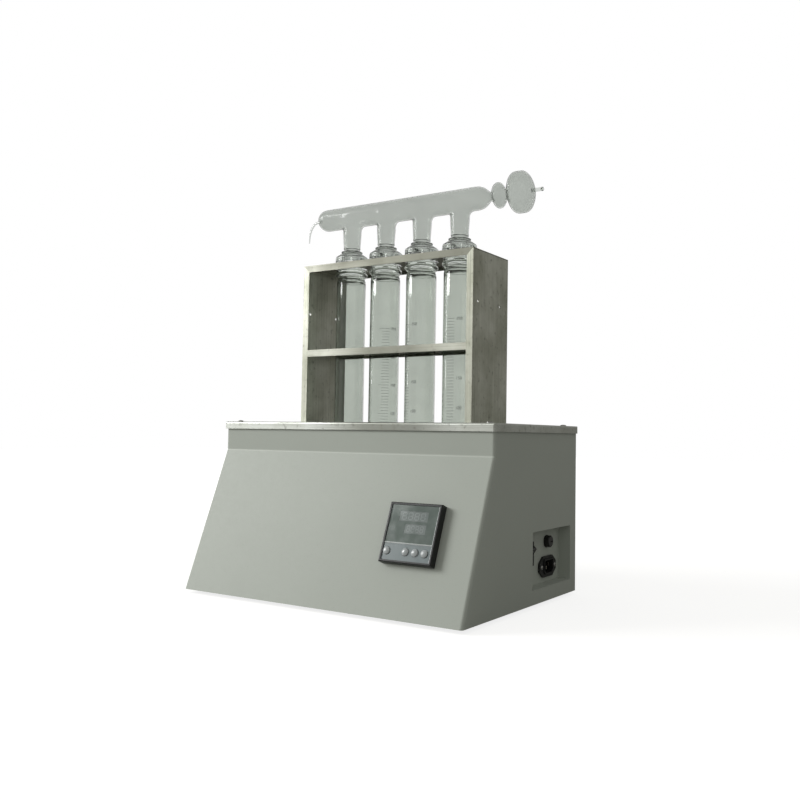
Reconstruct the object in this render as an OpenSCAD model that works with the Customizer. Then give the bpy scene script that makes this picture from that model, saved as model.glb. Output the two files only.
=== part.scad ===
// Four-place block digester: a heated block in a sheet-metal base, a lift-out
// rack of four glass digestion tubes and a glass exhaust manifold on top.
// Millimetres. +Z is up, -Y is the front, the floor is Z = 0, and the origin is
// the middle of the footprint.

/* [Base housing] */
// Width of the painted housing
base_w = 428; // [400:1:470]
// Depth of the housing from the upright front strip to the back
base_d = 236; // [215:1:270]
// Height from the housing's lower edge to the upper face of the top plate
base_h = 224; // [214:1:250]
// How far the sloping front runs forward at the bottom
slope_run = 70; // [55:1:90]
// Height of the upright strip above the slope, measured from the top plate's upper face
strip_h = 39; // [32:1:46]
// Housing sheet thickness
shell_t = 1.2; // [1:0.1:1.6]
// Outside radius of the housing's upright front corners
corner_r = 4; // [2.5:0.5:6]
// Width of the lip that closes the housing's bottom edge
bottom_lip = 14; // [12:1:18]
// Width of the lip that carries the top plate
top_lip = 24; // [21:1:28]
// Width of the lips that carry the back panel
back_lip = 14; // [12:1:18]

/* [Top plate] */
// Top plate sheet thickness
plate_t = 1.5; // [1:0.1:2]
// How far the top plate stands out past the housing
rim_overhang = 2.5; // [2.1:0.1:4]
// Height of the top plate's turned-down rim
rim_h = 10; // [7:0.5:14]
// Corner radius of the top plate seen from above
rim_corner_r = 4.5; // [3:0.5:6]
// Outside bend radius of the rim
rim_bend_r = 2.4; // [2:0.1:3]
// Diameter of the four well holes in the top plate
plate_hole_d = 46; // [45:0.5:48]
// Distance of the plate screws from the housing's sides
plate_screw_x = 14; // [11:0.5:16]
// Distance of the plate screws from the housing's front and back
plate_screw_y = 12; // [10:0.5:16]

/* [Tubes] */
// Outside diameter of a digestion tube
tube_d = 42; // [40:0.5:43]
// Glass wall of a tube
tube_wall = 1.2; // [1:0.1:1.8]
// Length of a tube from its round bottom to its mouth, which also sets the rack's height
tube_len = 310; // [300:1:330]
// Distance between neighbouring tubes
tube_pitch = 61; // [59:0.5:64]
// How far the middle of the tube row lies to the right of the housing's middle
row_x = 1.5; // [0:0.5:4]
// How far the tubes reach below the top plate's upper face
tube_sink = 70; // [60:1:75]
// How far the tubes' mouths stand above the rack's top sheet
mouth_over = 14; // [12:0.5:18]
// Distance of the tube row behind the upright front strip
row_back = 118; // [112:1:124]
// Diameter of the collar that rests on the rack
collar_d = 52; // [51:0.5:54]
// Thickness of that collar
collar_h = 4; // [3:0.5:5]
// Diameter of the bead below the rack's top sheet
bead_d = 47; // [45:0.5:47.4]
// Height of the bead
bead_h = 7; // [5:0.5:8]
// Gap between the rack's top sheet and the bead
bead_gap = 5; // [3:0.5:6]
// Outside diameter of the groove under the bead
groove_d = 39; // [37:0.5:40]
// Height of the groove
groove_h = 6; // [4:0.5:8]

/* [Rack] */
// Width of the rack over its side sheets
rack_w = 281; // [270:1:292]
// Depth of the rack
rack_d = 96; // [88:1:110]
// Rack sheet thickness
rack_t = 1.5; // [1:0.1:2]
// Width of the rack's front flanges
rack_flange = 9.5; // [7:0.5:12]
// Height of the back flanges of the top sheet and shelf
rack_back_flange = 5.5; // [4:0.5:8]
// Width of the foot flanges that stand on the top plate
rack_foot = 12; // [9:0.5:14]
// Height of the shelf's upper face above the top plate
shelf_z = 104; // [90:1:120]
// Diameter of the holes in the rack's top sheet
rack_hole_d = 48; // [47.6:0.1:49]
// Diameter of the holes in the shelf
shelf_hole_d = 44; // [43.6:0.1:47]
// Diameter of the hanging holes in the side sheets
hang_hole_d = 4; // [3:0.5:6]
// Height of the hanging holes above the top plate
hang_hole_z = 158; // [130:1:180]
// Distance of the front hanging hole behind the rack's front edge
hang_hole_y = 14; // [10:1:30]
// Distance between the two hanging holes of a side sheet
hang_hole_gap = 60; // [40:1:66]

/* [Manifold] */
// Outside diameter of the manifold's long tube
header_d = 31; // [29:0.5:34]
// Glass wall of the manifold
glass_t = 2; // [1.6:0.1:2.4]
// Height of the long tube's axis above the tubes' mouths
header_over = 64; // [60:1:72]
// Left end of the long tube, from the row's middle
header_left = 152; // [148:1:160]
// Where the long tube starts to narrow on the right
header_right = 122; // [118:1:126]
// Outside diameter of the four branches
branch_d = 24; // [22:0.5:26]
// Diameter of the ring at the foot of a branch
ring_d = 31; // [29:0.5:34]
// Height of that ring
ring_h = 5; // [4:0.5:6]
// Outside diameter of the skirt that covers a tube's mouth
skirt_d = 47; // [46:0.5:49]
// Clearance between the skirt's inside and the tube's mouth
skirt_gap = 0.5; // [0.4:0.1:0.9]
// How far the skirt reaches down over the mouth
skirt_h = 6; // [4:0.5:8]
// Height of the skirt's sloping shoulder
skirt_cone_h = 5; // [4:0.5:7]
// Radius of the fillet where a branch meets the long tube
branch_fillet = 6; // [4:0.5:7]
// Outside diameter of the neck before the small bulb
neck_d = 13; // [11:0.5:15]
// Diameter of the small bulb
bulb_small_d = 35; // [33:0.5:37]
// Half length of the small bulb
bulb_small_half = 7.5; // [6.5:0.5:8.5]
// Centre of the small bulb, from the row's middle
bulb_small_x = 150.5; // [149:0.5:152]
// Outside diameter of the neck between the bulbs
waist_d = 20; // [17:0.5:22]
// Diameter of the large bulb
bulb_large_d = 54.5; // [50:0.5:57]
// Half length of the large bulb
bulb_large_half = 16; // [14:0.5:17]
// Centre of the large bulb, from the row's middle
bulb_large_x = 182.5; // [180:0.5:184]
// Outside diameter of the nozzle at the right end
nozzle_d = 5; // [4:0.5:7]
// Right end of the nozzle, from the row's middle
nozzle_x = 215; // [210:0.5:222]
// Outside diameter of the bent drip tube at the left end
hook_d = 3.6; // [3:0.1:5]
// Bend radius of the drip tube
hook_r = 10; // [8:0.5:12]
// Level stretch of the drip tube before its bend
hook_reach = 11; // [9:0.5:14]
// Straight stretch of the drip tube below its bend
hook_drop = 20; // [14:1:26]

/* [Heated block] */
// Length of the block
block_w = 270; // [262:1:280]
// Depth of the block
block_d = 84; // [80:1:90]
// Height of the block
block_h = 86; // [84:1:90]
// Clearance all round a tube in its well
well_gap = 1.5; // [1:0.1:1.7]
// Diameter of a heater cartridge
heater_d = 12; // [10:0.5:12.5]
// Clearance all round a heater cartridge
heater_gap = 0.1; // [0.05:0.05:0.2]
// Distance of the side heaters from the block's middle plane
heater_y = 32; // [31:0.5:33]
// Diameter of the temperature probe
probe_d = 5; // [4:0.5:6]
// Thickness of the insulation round the block
insulation_t = 25; // [20:1:28]
// Thickness of the insulating lid over the block
lid_t = 5; // [4:0.5:7]
// Sheet thickness of the insulation tray
tray_t = 1; // [0.8:0.1:1.2]
// Width across the flats of the pillars under the tray
pillar_w = 10; // [8:0.5:12]

/* [Controller] */
// Width and height of the controller's front
ctrl_w = 72; // [70:1:76]
// How far the controller's front stands out of the slope
ctrl_out = 10; // [8:0.5:12]
// Left edge of the controller, from the middle
ctrl_x = 92; // [80:1:104]
// Distance of the controller's top edge below the bend, along the slope
ctrl_s = 63; // [52:1:70]
// Width of the controller's black frame
frame_w = 2.8; // [2.5:0.1:3.2]
// Height of the controller's display window
lens_h = 45; // [43:0.5:46]
// Depth of the controller's case behind the slope
case_depth = 75; // [60:1:80]
// Clearance of the case in its panel cut-out
case_gap = 0.5; // [0.3:0.1:1]
// Diameter of a key
key_d = 9; // [8:0.5:9.5]
// How far a key stands out
key_out = 2.2; // [1.8:0.1:2.5]
// Travel of a key
key_travel = 0.8; // [0.5:0.1:1]
// Clearance all round a key in its hole
key_gap = 0.3; // [0.2:0.1:0.4]

/* [Power recess] */
// Distance of the recess behind the upright front strip
recess_back = 102; // [96:1:104]
// Width of the recess
recess_w = 116; // [112:1:118]
// Height of the recess
recess_h = 72; // [68:1:76]
// Height of the recess above the housing's lower edge
recess_z = 18; // [14:1:24]
// Depth of the recess
recess_depth = 17; // [15:1:18]
// Switch centre behind the recess's front edge
switch_y = 22.5; // [20:0.5:24]
// Switch centre above the recess's floor
switch_z = 41; // [36:0.5:44]
// Fuse and inlet centre behind the recess's front edge
power_y = 76; // [72:0.5:80]
// Fuse centre above the recess's floor
fuse_z = 53; // [50:0.5:56]
// Inlet centre above the recess's floor
inlet_z = 20.5; // [18:0.5:23]
// Tilt of the rocker each way from level
rocker_tilt = 16; // [12:0.5:17]

/* [Feet and fasteners] */
// Height of the gap under the housing
foot_h = 5; // [4:0.5:8]
// Diameter of a foot
foot_d = 24; // [20:1:28]
// Distance of the feet from the housing's edges
foot_inset = 42; // [38:1:50]
// Shank diameter of the screws
screw_d = 4; // [3:0.5:4]
// Head diameter of the screws
head_d = 8; // [7:0.5:9]
// Head height of the screws
head_h = 2; // [1.5:0.1:2.4]
// Clearance all round a screw's shank
screw_gap = 0.2; // [0.15:0.05:0.3]

/* [Hidden] */
$fn = 96;
eps = 0.01;

// Planes of the base
total_d = slope_run + base_d + rim_overhang;
toe_y = -total_d / 2;
strip_y = toe_y + slope_run;
back_y = strip_y + base_d;
row_y = strip_y + row_back;
side_x = base_w / 2;
floor_z = foot_h;
top_z = foot_h + base_h;
bend_z = top_z - strip_h;
shell_top = top_z - plate_t;
pan_t = shell_t;
pan_z = floor_z + shell_t;
shell_back = back_y - shell_t;
slope_rise = bend_z - floor_z;
slope_len = norm([slope_run, slope_rise]);
slope_a = atan2(slope_rise, slope_run);
// Level distance between the slope's outer and inner faces
slope_tx = shell_t * slope_len / slope_rise;
// Tube axes, from the row's middle
tube_x = [for (i = [0:3]) (i - 1.5) * tube_pitch];

// The rim's radii, held to what the housing's edges inside it leave room for
rim_bend = min(rim_bend_r, rim_overhang);
rim_corner = min(rim_corner_r, plate_t + (rim_overhang - plate_t) / (1 - cos(45)));

// Places of screws
plate_screws = [for (x = [-1, 1]) for (y = [strip_y + plate_screw_y, back_y - plate_screw_y])
    [x * (side_x - plate_screw_x), y]];
pan_screws_at = [for (x = [-1, 1]) for (y = [toe_y + slope_run * 0.6, row_y, shell_back - 30])
    [x * (side_x - bottom_lip / 2), y, floor_z]];
back_screw_end = 22;
back_screws_at = [for (x = [-1, 1])
    for (z = [floor_z + back_screw_end, (floor_z + shell_top) / 2, shell_top - back_screw_end])
        [x * (side_x - back_lip / 2), back_y, z]];
feet_at = [for (x = [-1, 1]) for (y = [toe_y + foot_inset, back_y - foot_inset])
    [x * (side_x - foot_inset), y]];

// Tubes and rack
tube_r = tube_d / 2;
bore_r = tube_r - tube_wall;
tube_z0 = top_z - tube_sink;
mouth_z = tube_z0 + tube_len;
rack_z = mouth_z - mouth_over;
rack_y0 = row_y - rack_d / 2;
rack_y1 = row_y + rack_d / 2;
rack_x = rack_w / 2;

// Manifold
axis_z = mouth_z + header_over;
header_r = header_d / 2;
ring_z = mouth_z + glass_t + skirt_cone_h + ring_h;

// Heated block
block_top = top_z - plate_t - lid_t;
block_z0 = block_top - block_h;
well_r = tube_r + well_gap;
well_z = tube_z0 + tube_r;
tray_z = block_z0 - insulation_t - tray_t;
can_w = block_w + 2 * insulation_t;
can_d = block_d + 2 * insulation_t;
// Heights of the side heaters and, above them, of the probe between the middle wells
heater_z = well_z - 5;
probe_wall = 3;
probe_z = heater_z + heater_d / 2 + probe_wall + probe_d / 2;

// Controller, measured on the slope
ctrl_mid_x = ctrl_x + ctrl_w / 2;
ctrl_mid_s = ctrl_s + ctrl_w / 2;
ctrl_in = ctrl_w - 2 * frame_w;
case_w = ctrl_w - 5;
lens_t = 2;
face_n = ctrl_out - 1;
key_panel_h = ctrl_in - lens_h;
key_flange_t = 0.8;
// Display openings as [left, right, top, bottom] from the controller's upper left corner
display_upper = [16, 55.5, 10, 22.3];
display_lower = [26.5, 55.5, 25.6, 37];
lens_floor = 0.6;
key_rows_s = ctrl_s + frame_w + lens_h + key_panel_h / 2;
// Key centres from the controller's left edge
key_at = [8.4, 34.4, 47.4, 60.4];
key_x = [for (u = key_at) ctrl_x + u];

// Power recess
recess_y0 = strip_y + recess_back;
recess_z0 = floor_z + recess_z;
recess_floor_x = side_x - recess_depth;
switch_at = [recess_floor_x, recess_y0 + switch_y, recess_z0 + switch_z];
fuse_at = [recess_floor_x, recess_y0 + power_y, recess_z0 + fuse_z];
inlet_at = [recess_floor_x, recess_y0 + power_y, recess_z0 + inlet_z];

// Colours
paint = [0.70, 0.72, 0.69];
steel = [0.70, 0.71, 0.65];
glass = [0.70, 0.74, 0.72, 0.55];

// ---- helpers ----

// An outline in Y and Z, drawn out along X from x0 to x1
module along_x(x0, x1) {
    translate([x0, 0, 0])
        rotate([90, 0, 90])
            linear_extrude(height = x1 - x0)
                children();
}

// Local frame of the tube row: X counts from the row's middle
module on_row() {
    translate([row_x, 0, 0]) children();
}

// A box given by its two corners
module box(a, b) {
    translate(a) cube(b - a);
}

// A rectangle with round corners, as true arcs
module round_rect(a, b, r) {
    translate([a[0] + r, a[1]]) square([b[0] - a[0] - 2 * r, b[1] - a[1]]);
    translate([a[0], a[1] + r]) square([b[0] - a[0], b[1] - a[1] - 2 * r]);
    for (x = [a[0] + r, b[0] - r]) for (y = [a[1] + r, b[1] - r]) translate([x, y]) circle(r = r);
}

// Upright section of a slab from u0 to u1 and z0 to z1, its upper corners rolled over
module rolled_section(u0, u1, z0, z1, roll) {
    translate([u0, z0]) square([u1 - u0, z1 - roll - z0]);
    translate([u0 + roll, z0]) square([u1 - u0 - 2 * roll, z1 - z0]);
    for (u = [u0 + roll, u1 - roll]) translate([u, z1 - roll]) circle(r = roll);
}

// A slab with round corners seen from above and a rolled upper edge on all four sides
module rolled_slab(a, b, z0, z1, corner, roll) {
    intersection() {
        translate([0, 0, z0 - 1]) linear_extrude(height = z1 - z0 + 2) round_rect(a, b, corner);
        along_x(a[0] - 1, b[0] + 1) rolled_section(a[1], b[1], z0, z1, roll);
        translate([0, b[1] + 1, 0]) rotate([90, 0, 0])
            linear_extrude(height = b[1] - a[1] + 2) rolled_section(a[0], b[0], z0, z1, roll);
    }
}

// Local frame on the slope: X as the row's, Y up the slope, Z straight out of it
module on_slope(x, s, n = 0) {
    translate([0, strip_y, bend_z]) rotate([slope_a, 0, 0]) translate([x, -s, n]) children();
}

// Local frame on the recess floor: Z comes out to the right, X runs back, Y up
module on_recess(at) {
    translate(at) rotate([90, 0, 90]) children();
}

// Pan-head screw with its seat at Z = 0, its head above and its shank below
module pan_screw(shank, d = screw_d, hd = head_d, hh = head_h) {
    difference() {
        union() {
            rotate_extrude()
                polygon(concat([[0, 0], [hd / 2, 0], [hd / 2, hh * 0.35]],
                    [for (a = [15:15:90]) [hd / 2 * cos(a), hh * 0.35 + hh * 0.65 * sin(a)]]));
            translate([0, 0, -shank]) cylinder(d = d, h = shank + eps);
        }
        for (a = [0, 90])
            rotate(a) translate([-hd * 0.28, -hd * 0.055, hh * 0.4]) cube([hd * 0.56, hd * 0.11, hh]);
    }
}

// Clearance hole for a housing screw, upright, through anything near Z = 0
module screw_hole() {
    reach = 8;
    translate([0, 0, -reach]) cylinder(r = screw_d / 2 + screw_gap, h = 2 * reach);
}

// A field of round-ended air slots, [width, pitch, rows], centred in X and stepped in Y
module air_slots(field) {
    w = field[0];
    h = slot_h;
    for (i = [0:field[2] - 1]) translate([0, (i - (field[2] - 1) / 2) * field[1]])
        round_rect([-w / 2, -h / 2], [w / 2, h / 2], h / 2 - 0.1);
}

// Outline of the housing in Y and Z, its strip drawn in by t and its slope by tx measured level
function shell_outline(t, tx) =
    [[toe_y + tx, floor_z],
     [strip_y + t, bend_z - (tx - t) * slope_rise / slope_run],
     [strip_y + t, shell_top],
     [shell_back, shell_top],
     [shell_back, floor_z]];

// ---- base ----

// The housing's outer form: an upright prism and a leaning one, both with round front corners.
// Their corner cylinders meet in the plane that halves the bend.
module shell_form() {
    over = 20;
    intersection() {
        along_x(-side_x - over, side_x + over) polygon(shell_outline(0, 0));
        union() {
            translate([0, 0, floor_z - over])
                linear_extrude(height = base_h + 2 * over)
                    round_rect([-side_x, strip_y], [side_x, back_y + base_d], corner_r);
            translate([0, strip_y, bend_z]) rotate([slope_a - 90, 0, 0])
                translate([0, 0, -slope_len - base_d])
                    linear_extrude(height = slope_len + 2 * base_d)
                        round_rect([-side_x, 0], [side_x, 3 * base_d], corner_r);
        }
    }
}

module housing_shell() {
    in_x = side_x - shell_t;
    color(paint)
        difference() {
            shell_form();
            intersection() {
                along_x(-in_x, in_x) polygon(shell_outline(shell_t, slope_tx));
                box([-side_x, toe_y, pan_z], [side_x, shell_back - shell_t, shell_top - shell_t]);
            }
            box([-side_x + bottom_lip, toe_y + bottom_lip + slope_tx, floor_z - 1],
                [side_x - bottom_lip, shell_back - bottom_lip, pan_z + 1]);
            box([-side_x + top_lip, strip_y + top_lip, shell_top - shell_t - 1],
                [side_x - top_lip, shell_back - top_lip, shell_top + 1]);
            box([-side_x + back_lip, shell_back - shell_t - 1, floor_z + back_lip],
                [side_x - back_lip, shell_back + 1, shell_top - back_lip]);
            box([side_x - shell_t - 1, recess_y0, recess_z0],
                [side_x + 1, recess_y0 + recess_w, recess_z0 + recess_h]);
            on_slope(ctrl_mid_x, ctrl_mid_s)
                box([-case_w / 2 - case_gap, -case_w / 2 - case_gap, -3 * shell_t],
                    [case_w / 2 + case_gap, case_w / 2 + case_gap, 3 * shell_t]);
            for (p = plate_screws) translate([p[0], p[1], shell_top]) screw_hole();
            for (p = back_screws_at) translate(p) rotate([90, 0, 0]) screw_hole();
            for (p = pan_screws_at) translate(p) screw_hole();
        }
}

// Air slots: height, distance of their two fields from the middle, and [width, pitch, rows] of a field
slot_h = 5;
slots_x = 92;
pan_slots = [60, 12, 9];
back_slots = [90, 13, 8];

// Floor sheet of the housing, with rows of air slots
module base_pan() {
    gap = 0.6;
    color(steel)
        difference() {
            box([-side_x + shell_t + gap, toe_y + slope_tx + 3 * gap, pan_z],
                [side_x - shell_t - gap, shell_back - shell_t - gap, pan_z + pan_t]);
            for (p = concat(pan_screws_at, feet_at, pillar_at)) translate([p[0], p[1], pan_z]) screw_hole();
            for (x = [-slots_x, slots_x]) translate([x, row_y, pan_z - 1])
                linear_extrude(height = pan_t + 2) air_slots(pan_slots);
        }
}

// Back cover with two fields of air slots
module back_panel() {
    color(paint)
        difference() {
            box([-side_x, shell_back, floor_z], [side_x, back_y, shell_top]);
            for (x = [-slots_x, slots_x])
                translate([x, back_y + 1, (floor_z + shell_top) / 2]) rotate([90, 0, 0])
                    linear_extrude(height = shell_t + 2) air_slots(back_slots);
            for (p = back_screws_at) translate(p) rotate([90, 0, 0]) screw_hole();
        }
}

// Seat of a foot's screw above the floor, and how far every screw stands out behind its sheets
foot_seat_z = pan_z - 1.5;
screw_end = 4;

// Four rubber feet, each hollowed for its screw
module feet() {
    color([0.08, 0.08, 0.08])
        for (p = feet_at)
            translate([p[0], p[1], 0])
                difference() {
                    cylinder(d1 = foot_d - 3, d2 = foot_d, h = pan_z);
                    translate([0, 0, -1]) cylinder(d = head_d + 2, h = foot_seat_z + 1);
                    screw_hole();
                }
}

module foot_screws() {
    color(steel)
        for (p = feet_at)
            translate([p[0], p[1], foot_seat_z]) rotate([180, 0, 0])
                pan_screw(pan_z - foot_seat_z + pan_t + screw_end);
}

// Screws of the floor sheet: round its edge and up into the pillars
module pan_screws() {
    color(steel) {
        for (p = pan_screws_at) translate(p) rotate([180, 0, 0]) pan_screw(shell_t + pan_t + screw_end);
        for (p = pillar_at) translate([p[0], p[1], pan_z]) rotate([180, 0, 0])
            pan_screw(pan_t + thread_deep - 2);
    }
}

module back_screws() {
    color(steel)
        for (p = back_screws_at) translate(p) rotate([-90, 0, 0]) pan_screw(2 * shell_t + screw_end);
}

// Stainless top plate with its rolled, turned-down rim and four well holes
module top_plate() {
    a = [-side_x - rim_overhang, strip_y - rim_overhang];
    b = [side_x + rim_overhang, back_y + rim_overhang];
    t = [plate_t, plate_t];
    color(steel)
        difference() {
            rolled_slab(a, b, top_z - rim_h, top_z, rim_corner, rim_bend);
            rolled_slab(a + t, b - t, top_z - rim_h - 1, top_z - plate_t,
                rim_corner - plate_t, rim_bend - plate_t);
            on_row() for (x = tube_x) translate([x, row_y, top_z - 5]) cylinder(d = plate_hole_d, h = 10);
            for (p = plate_screws) translate([p[0], p[1], top_z]) screw_hole();
        }
}

module top_screws() {
    color(steel)
        for (p = plate_screws) translate([p[0], p[1], top_z]) pan_screw(plate_t + shell_t + screw_end);
}

// ---- heated block ----

pillar_in = 20;
// Depth of the threaded hole in the foot of a pillar
thread_deep = 12;
pillar_at = [for (x = [-1, 1]) for (y = [-1, 1])
    [row_x + x * (can_w / 2 - pillar_in), row_y + y * (can_d / 2 - pillar_in)]];
// Heaters as [Y from the block's middle plane, Z]: two beside the wells and two under them
heater_low = 8.5;
heater_at = [[-heater_y, heater_z], [heater_y, heater_z],
    [-13, block_z0 + heater_low], [13, block_z0 + heater_low]];
heater_end = 4;
probe_gap = 0.5;

// Block with four round-nosed wells and the bores of its heaters and probe
module heating_block() {
    color([0.75, 0.76, 0.78])
        on_row() difference() {
            box([-block_w / 2, row_y - block_d / 2, block_z0], [block_w / 2, row_y + block_d / 2, block_top]);
            for (x = tube_x) translate([x, row_y, well_z]) {
                sphere(r = well_r);
                cylinder(r = well_r, h = block_h);
            }
            heater_bores(heater_gap);
            probe_bore(0.15);
        }
}

// Room for the heaters, gap wider all round
module heater_bores(gap) {
    for (h = heater_at)
        translate([-block_w / 2 - heater_end - gap, row_y + h[0], h[1]]) rotate([0, 90, 0])
            cylinder(r = heater_d / 2 + gap, h = block_w + 2 * heater_end + 2 * gap);
}

// Room for the probe from the middle plane to the front
module probe_bore(gap) {
    translate([0, row_y, probe_z]) rotate([90, 0, 0]) cylinder(r = probe_d / 2 + gap, h = can_d);
}

module heater_rods() {
    color([0.62, 0.60, 0.56]) on_row() heater_bores(0);
}

// Sheathed probe from the block's middle out through the front of the tray
module temperature_probe() {
    out = block_d / 2 + insulation_t + tray_t + 12;
    color([0.72, 0.72, 0.70])
        on_row() translate([0, row_y - 2, probe_z]) rotate([90, 0, 0]) {
            cylinder(d = probe_d, h = out);
            translate([0, 0, out - 9]) cylinder(d = probe_d + 4, h = 7, $fn = 6);
        }
}

module insulation_shell() {
    color([0.88, 0.87, 0.82])
        on_row() difference() {
            box([-can_w / 2, row_y - can_d / 2, block_z0 - insulation_t],
                [can_w / 2, row_y + can_d / 2, block_top]);
            box([-block_w / 2, row_y - block_d / 2, block_z0],
                [block_w / 2, row_y + block_d / 2, block_top + 1]);
            heater_bores(probe_gap);
            probe_bore(probe_gap);
        }
}

module insulation_lid() {
    color([0.88, 0.87, 0.82])
        on_row() difference() {
            box([-can_w / 2, row_y - can_d / 2, block_top], [can_w / 2, row_y + can_d / 2, block_top + lid_t]);
            for (x = tube_x) translate([x, row_y, block_top - 1]) cylinder(d = plate_hole_d, h = lid_t + 2);
        }
}

module insulation_tray() {
    t = [tray_t, tray_t, tray_t];
    a = [-can_w / 2, row_y - can_d / 2, block_z0 - insulation_t];
    b = [can_w / 2, row_y + can_d / 2, block_top];
    color(steel)
        on_row() difference() {
            box(a - t, [b[0] + tray_t, b[1] + tray_t, b[2]]);
            box(a, b + [0, 0, 1]);
            probe_bore(probe_gap);
        }
}

// Hexagonal pillars between the floor sheet and the tray
module tray_pillars() {
    h0 = pan_z + pan_t;
    color(steel)
        for (p = pillar_at)
            translate([p[0], p[1], h0])
                difference() {
                    cylinder(d = pillar_w / cos(30), h = tray_z - h0, $fn = 6);
                    translate([0, 0, -1]) cylinder(r = screw_d / 2 + screw_gap, h = thread_deep + 1);
                }
}

// ---- electrics on the floor sheet ----

// How far each piece stands from the housing's middle, and how far behind the tube row
sink_x = -110;
sink_back = 85;
relay_x = -150;
relay_back = 2;
term_x = 60;
term_back = 72;

module heat_sink() {
    w = 60;
    d = 50;
    plate = 5;
    fin = [2, d, 20];
    fins = 9;
    color([0.35, 0.35, 0.36])
        translate([sink_x - w / 2, row_y + sink_back - d / 2, pan_z + pan_t]) {
            cube([w, d, plate]);
            for (i = [0:fins - 1]) translate([i * (w - fin[0]) / (fins - 1), 0, plate - eps]) cube(fin);
        }
}

module solid_state_relay() {
    size = [58, 45, 22];
    terminal = [20, 15];
    terminal_d = 7;
    ear_d = 6;
    color([0.85, 0.85, 0.83])
        translate([relay_x, row_y + relay_back, pan_z + pan_t])
            difference() {
                translate([-size[0] / 2, -size[1] / 2, 0]) cube(size);
                for (x = [-1, 1]) for (y = [-1, 1])
                    translate([x * terminal[0], y * terminal[1], size[2] - terminal_d])
                        cylinder(d = terminal_d, h = terminal_d + 1);
                for (x = [-1, 1]) translate([x * size[0] / 2, 0, -1]) cylinder(d = ear_d, h = size[2] + 2);
            }
}

module terminal_block() {
    poles = 5;
    pitch = 11;
    size = [poles * pitch, 18, 15];
    color([0.90, 0.89, 0.84])
        translate([term_x, row_y + term_back, pan_z + pan_t])
            difference() {
                translate([-size[0] / 2, -size[1] / 2, 0]) cube(size);
                for (i = [0:poles - 1]) translate([(i - (poles - 1) / 2) * pitch, 0, 0]) {
                    for (y = [-5, 5]) translate([0, y, 9]) cylinder(d = 4.5, h = size[2]);
                    translate([-2.5, -size[1], 3]) cube([5, 2 * size[1], 4]);
                }
            }
}

// ---- temperature controller ----

// Case behind the slope: an open-fronted box
module controller_case() {
    w = case_w / 2;
    t = 1.6;
    vent = [1.2, 18];
    vents = 8;
    color([0.10, 0.10, 0.10])
        on_slope(ctrl_mid_x, ctrl_mid_s)
            difference() {
                box([-w, -w, -case_depth], [w, w, 0]);
                box([-w + t, -w + t, -case_depth + t], [w - t, w - t, 1]);
                for (i = [0:vents - 1]) translate([(i - (vents - 1) / 2) * 6, 0, -case_depth * 0.55])
                    box([-vent[0], -case_w, -vent[1]], [vent[0], case_w, vent[1]]);
            }
}

// Black frame with a chamfered front edge and a bar between display and keys
module controller_bezel() {
    o = ctrl_w / 2;
    i = ctrl_in / 2;
    c = 1.2;
    web = 2;
    web_in = 3;
    color([0.05, 0.05, 0.05])
        on_slope(ctrl_mid_x, ctrl_mid_s)
            difference() {
                union() {
                    box([-o, -o, 0], [o, o, ctrl_out - c]);
                    translate([0, 0, ctrl_out - c - eps])
                        linear_extrude(height = c + eps) square(2 * (o - c), center = true);
                    for (a = [0, 90, 180, 270])
                        rotate(a) translate([-o + c, -o + c, ctrl_out - c]) rotate([0, 90, 0])
                            cylinder(r = c, h = 2 * (o - c));
                    for (x = [-1, 1]) for (y = [-1, 1])
                        translate([x * (o - c), y * (o - c), ctrl_out - c]) sphere(r = c);
                }
                box([-i, -i, web], [i, i, ctrl_out + 1]);
                box([-i + web_in, -i + web_in, -1], [i - web_in, i - web_in, web + 1]);
            }
}

// Dark display window with two stepped openings
module controller_lens() {
    color([0.42, 0.43, 0.42])
        on_slope(ctrl_x, ctrl_s, face_n - lens_t)
            difference() {
                box([frame_w, -frame_w - lens_h, 0], [frame_w + ctrl_in, -frame_w, lens_t]);
                for (d = [display_upper, display_lower])
                    box([d[0], -d[3], lens_floor], [d[1], -d[2], lens_t + 1]);
            }
}

// Silver panel with the four key holes
module controller_keypanel() {
    color([0.74, 0.75, 0.76])
        on_slope(0, ctrl_s + frame_w + lens_h, face_n - lens_t)
            difference() {
                box([ctrl_x + frame_w, -key_panel_h, 0], [ctrl_x + frame_w + ctrl_in, 0, lens_t]);
                for (x = key_x) translate([x, -key_panel_h / 2, -1])
                    cylinder(r = key_d / 2 + key_gap, h = lens_t + 2);
            }
}

// Circuit board behind the window, carrying the two displays and a push switch under each key
module display_board() {
    back = 3.4;
    board_t = 1.6;
    edge = case_w / 2 - 4;
    switch_w = 4.4;
    touch = 0.05;
    switch_top = face_n - lens_t - key_flange_t - key_travel - touch;
    color([0.10, 0.25, 0.15]) {
        on_slope(ctrl_mid_x, ctrl_mid_s) box([-edge, -edge, -back - board_t], [edge, edge, -back]);
        for (d = [display_upper, display_lower]) on_slope(ctrl_x, ctrl_s)
            box([d[0], -d[3], -back - eps], [d[1], -d[2], face_n - lens_t - lens_floor]);
        for (x = key_x) on_slope(x, key_rows_s)
            box([-switch_w / 2, -switch_w / 2, -back - eps], [switch_w / 2, switch_w / 2, switch_top]);
    }
}

// Two brackets that press the case's front against the slope from inside
module controller_clamps() {
    w = case_w / 2;
    high = 9;
    leg = 3;
    half = 12;
    back = -46;
    color([0.12, 0.12, 0.12])
        on_slope(ctrl_mid_x, ctrl_mid_s)
            for (a = [0, 180]) rotate(a)
                difference() {
                    box([-half, w, back], [half, w + high, -shell_t]);
                    box([-half - 1, w + leg, back + 2 * leg], [half + 1, w + high + 1, -shell_t - 2 * leg]);
                    translate([0, w + high - leg, back - 1]) cylinder(d = small_screw_hole, h = -back + 1);
                }
}

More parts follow.
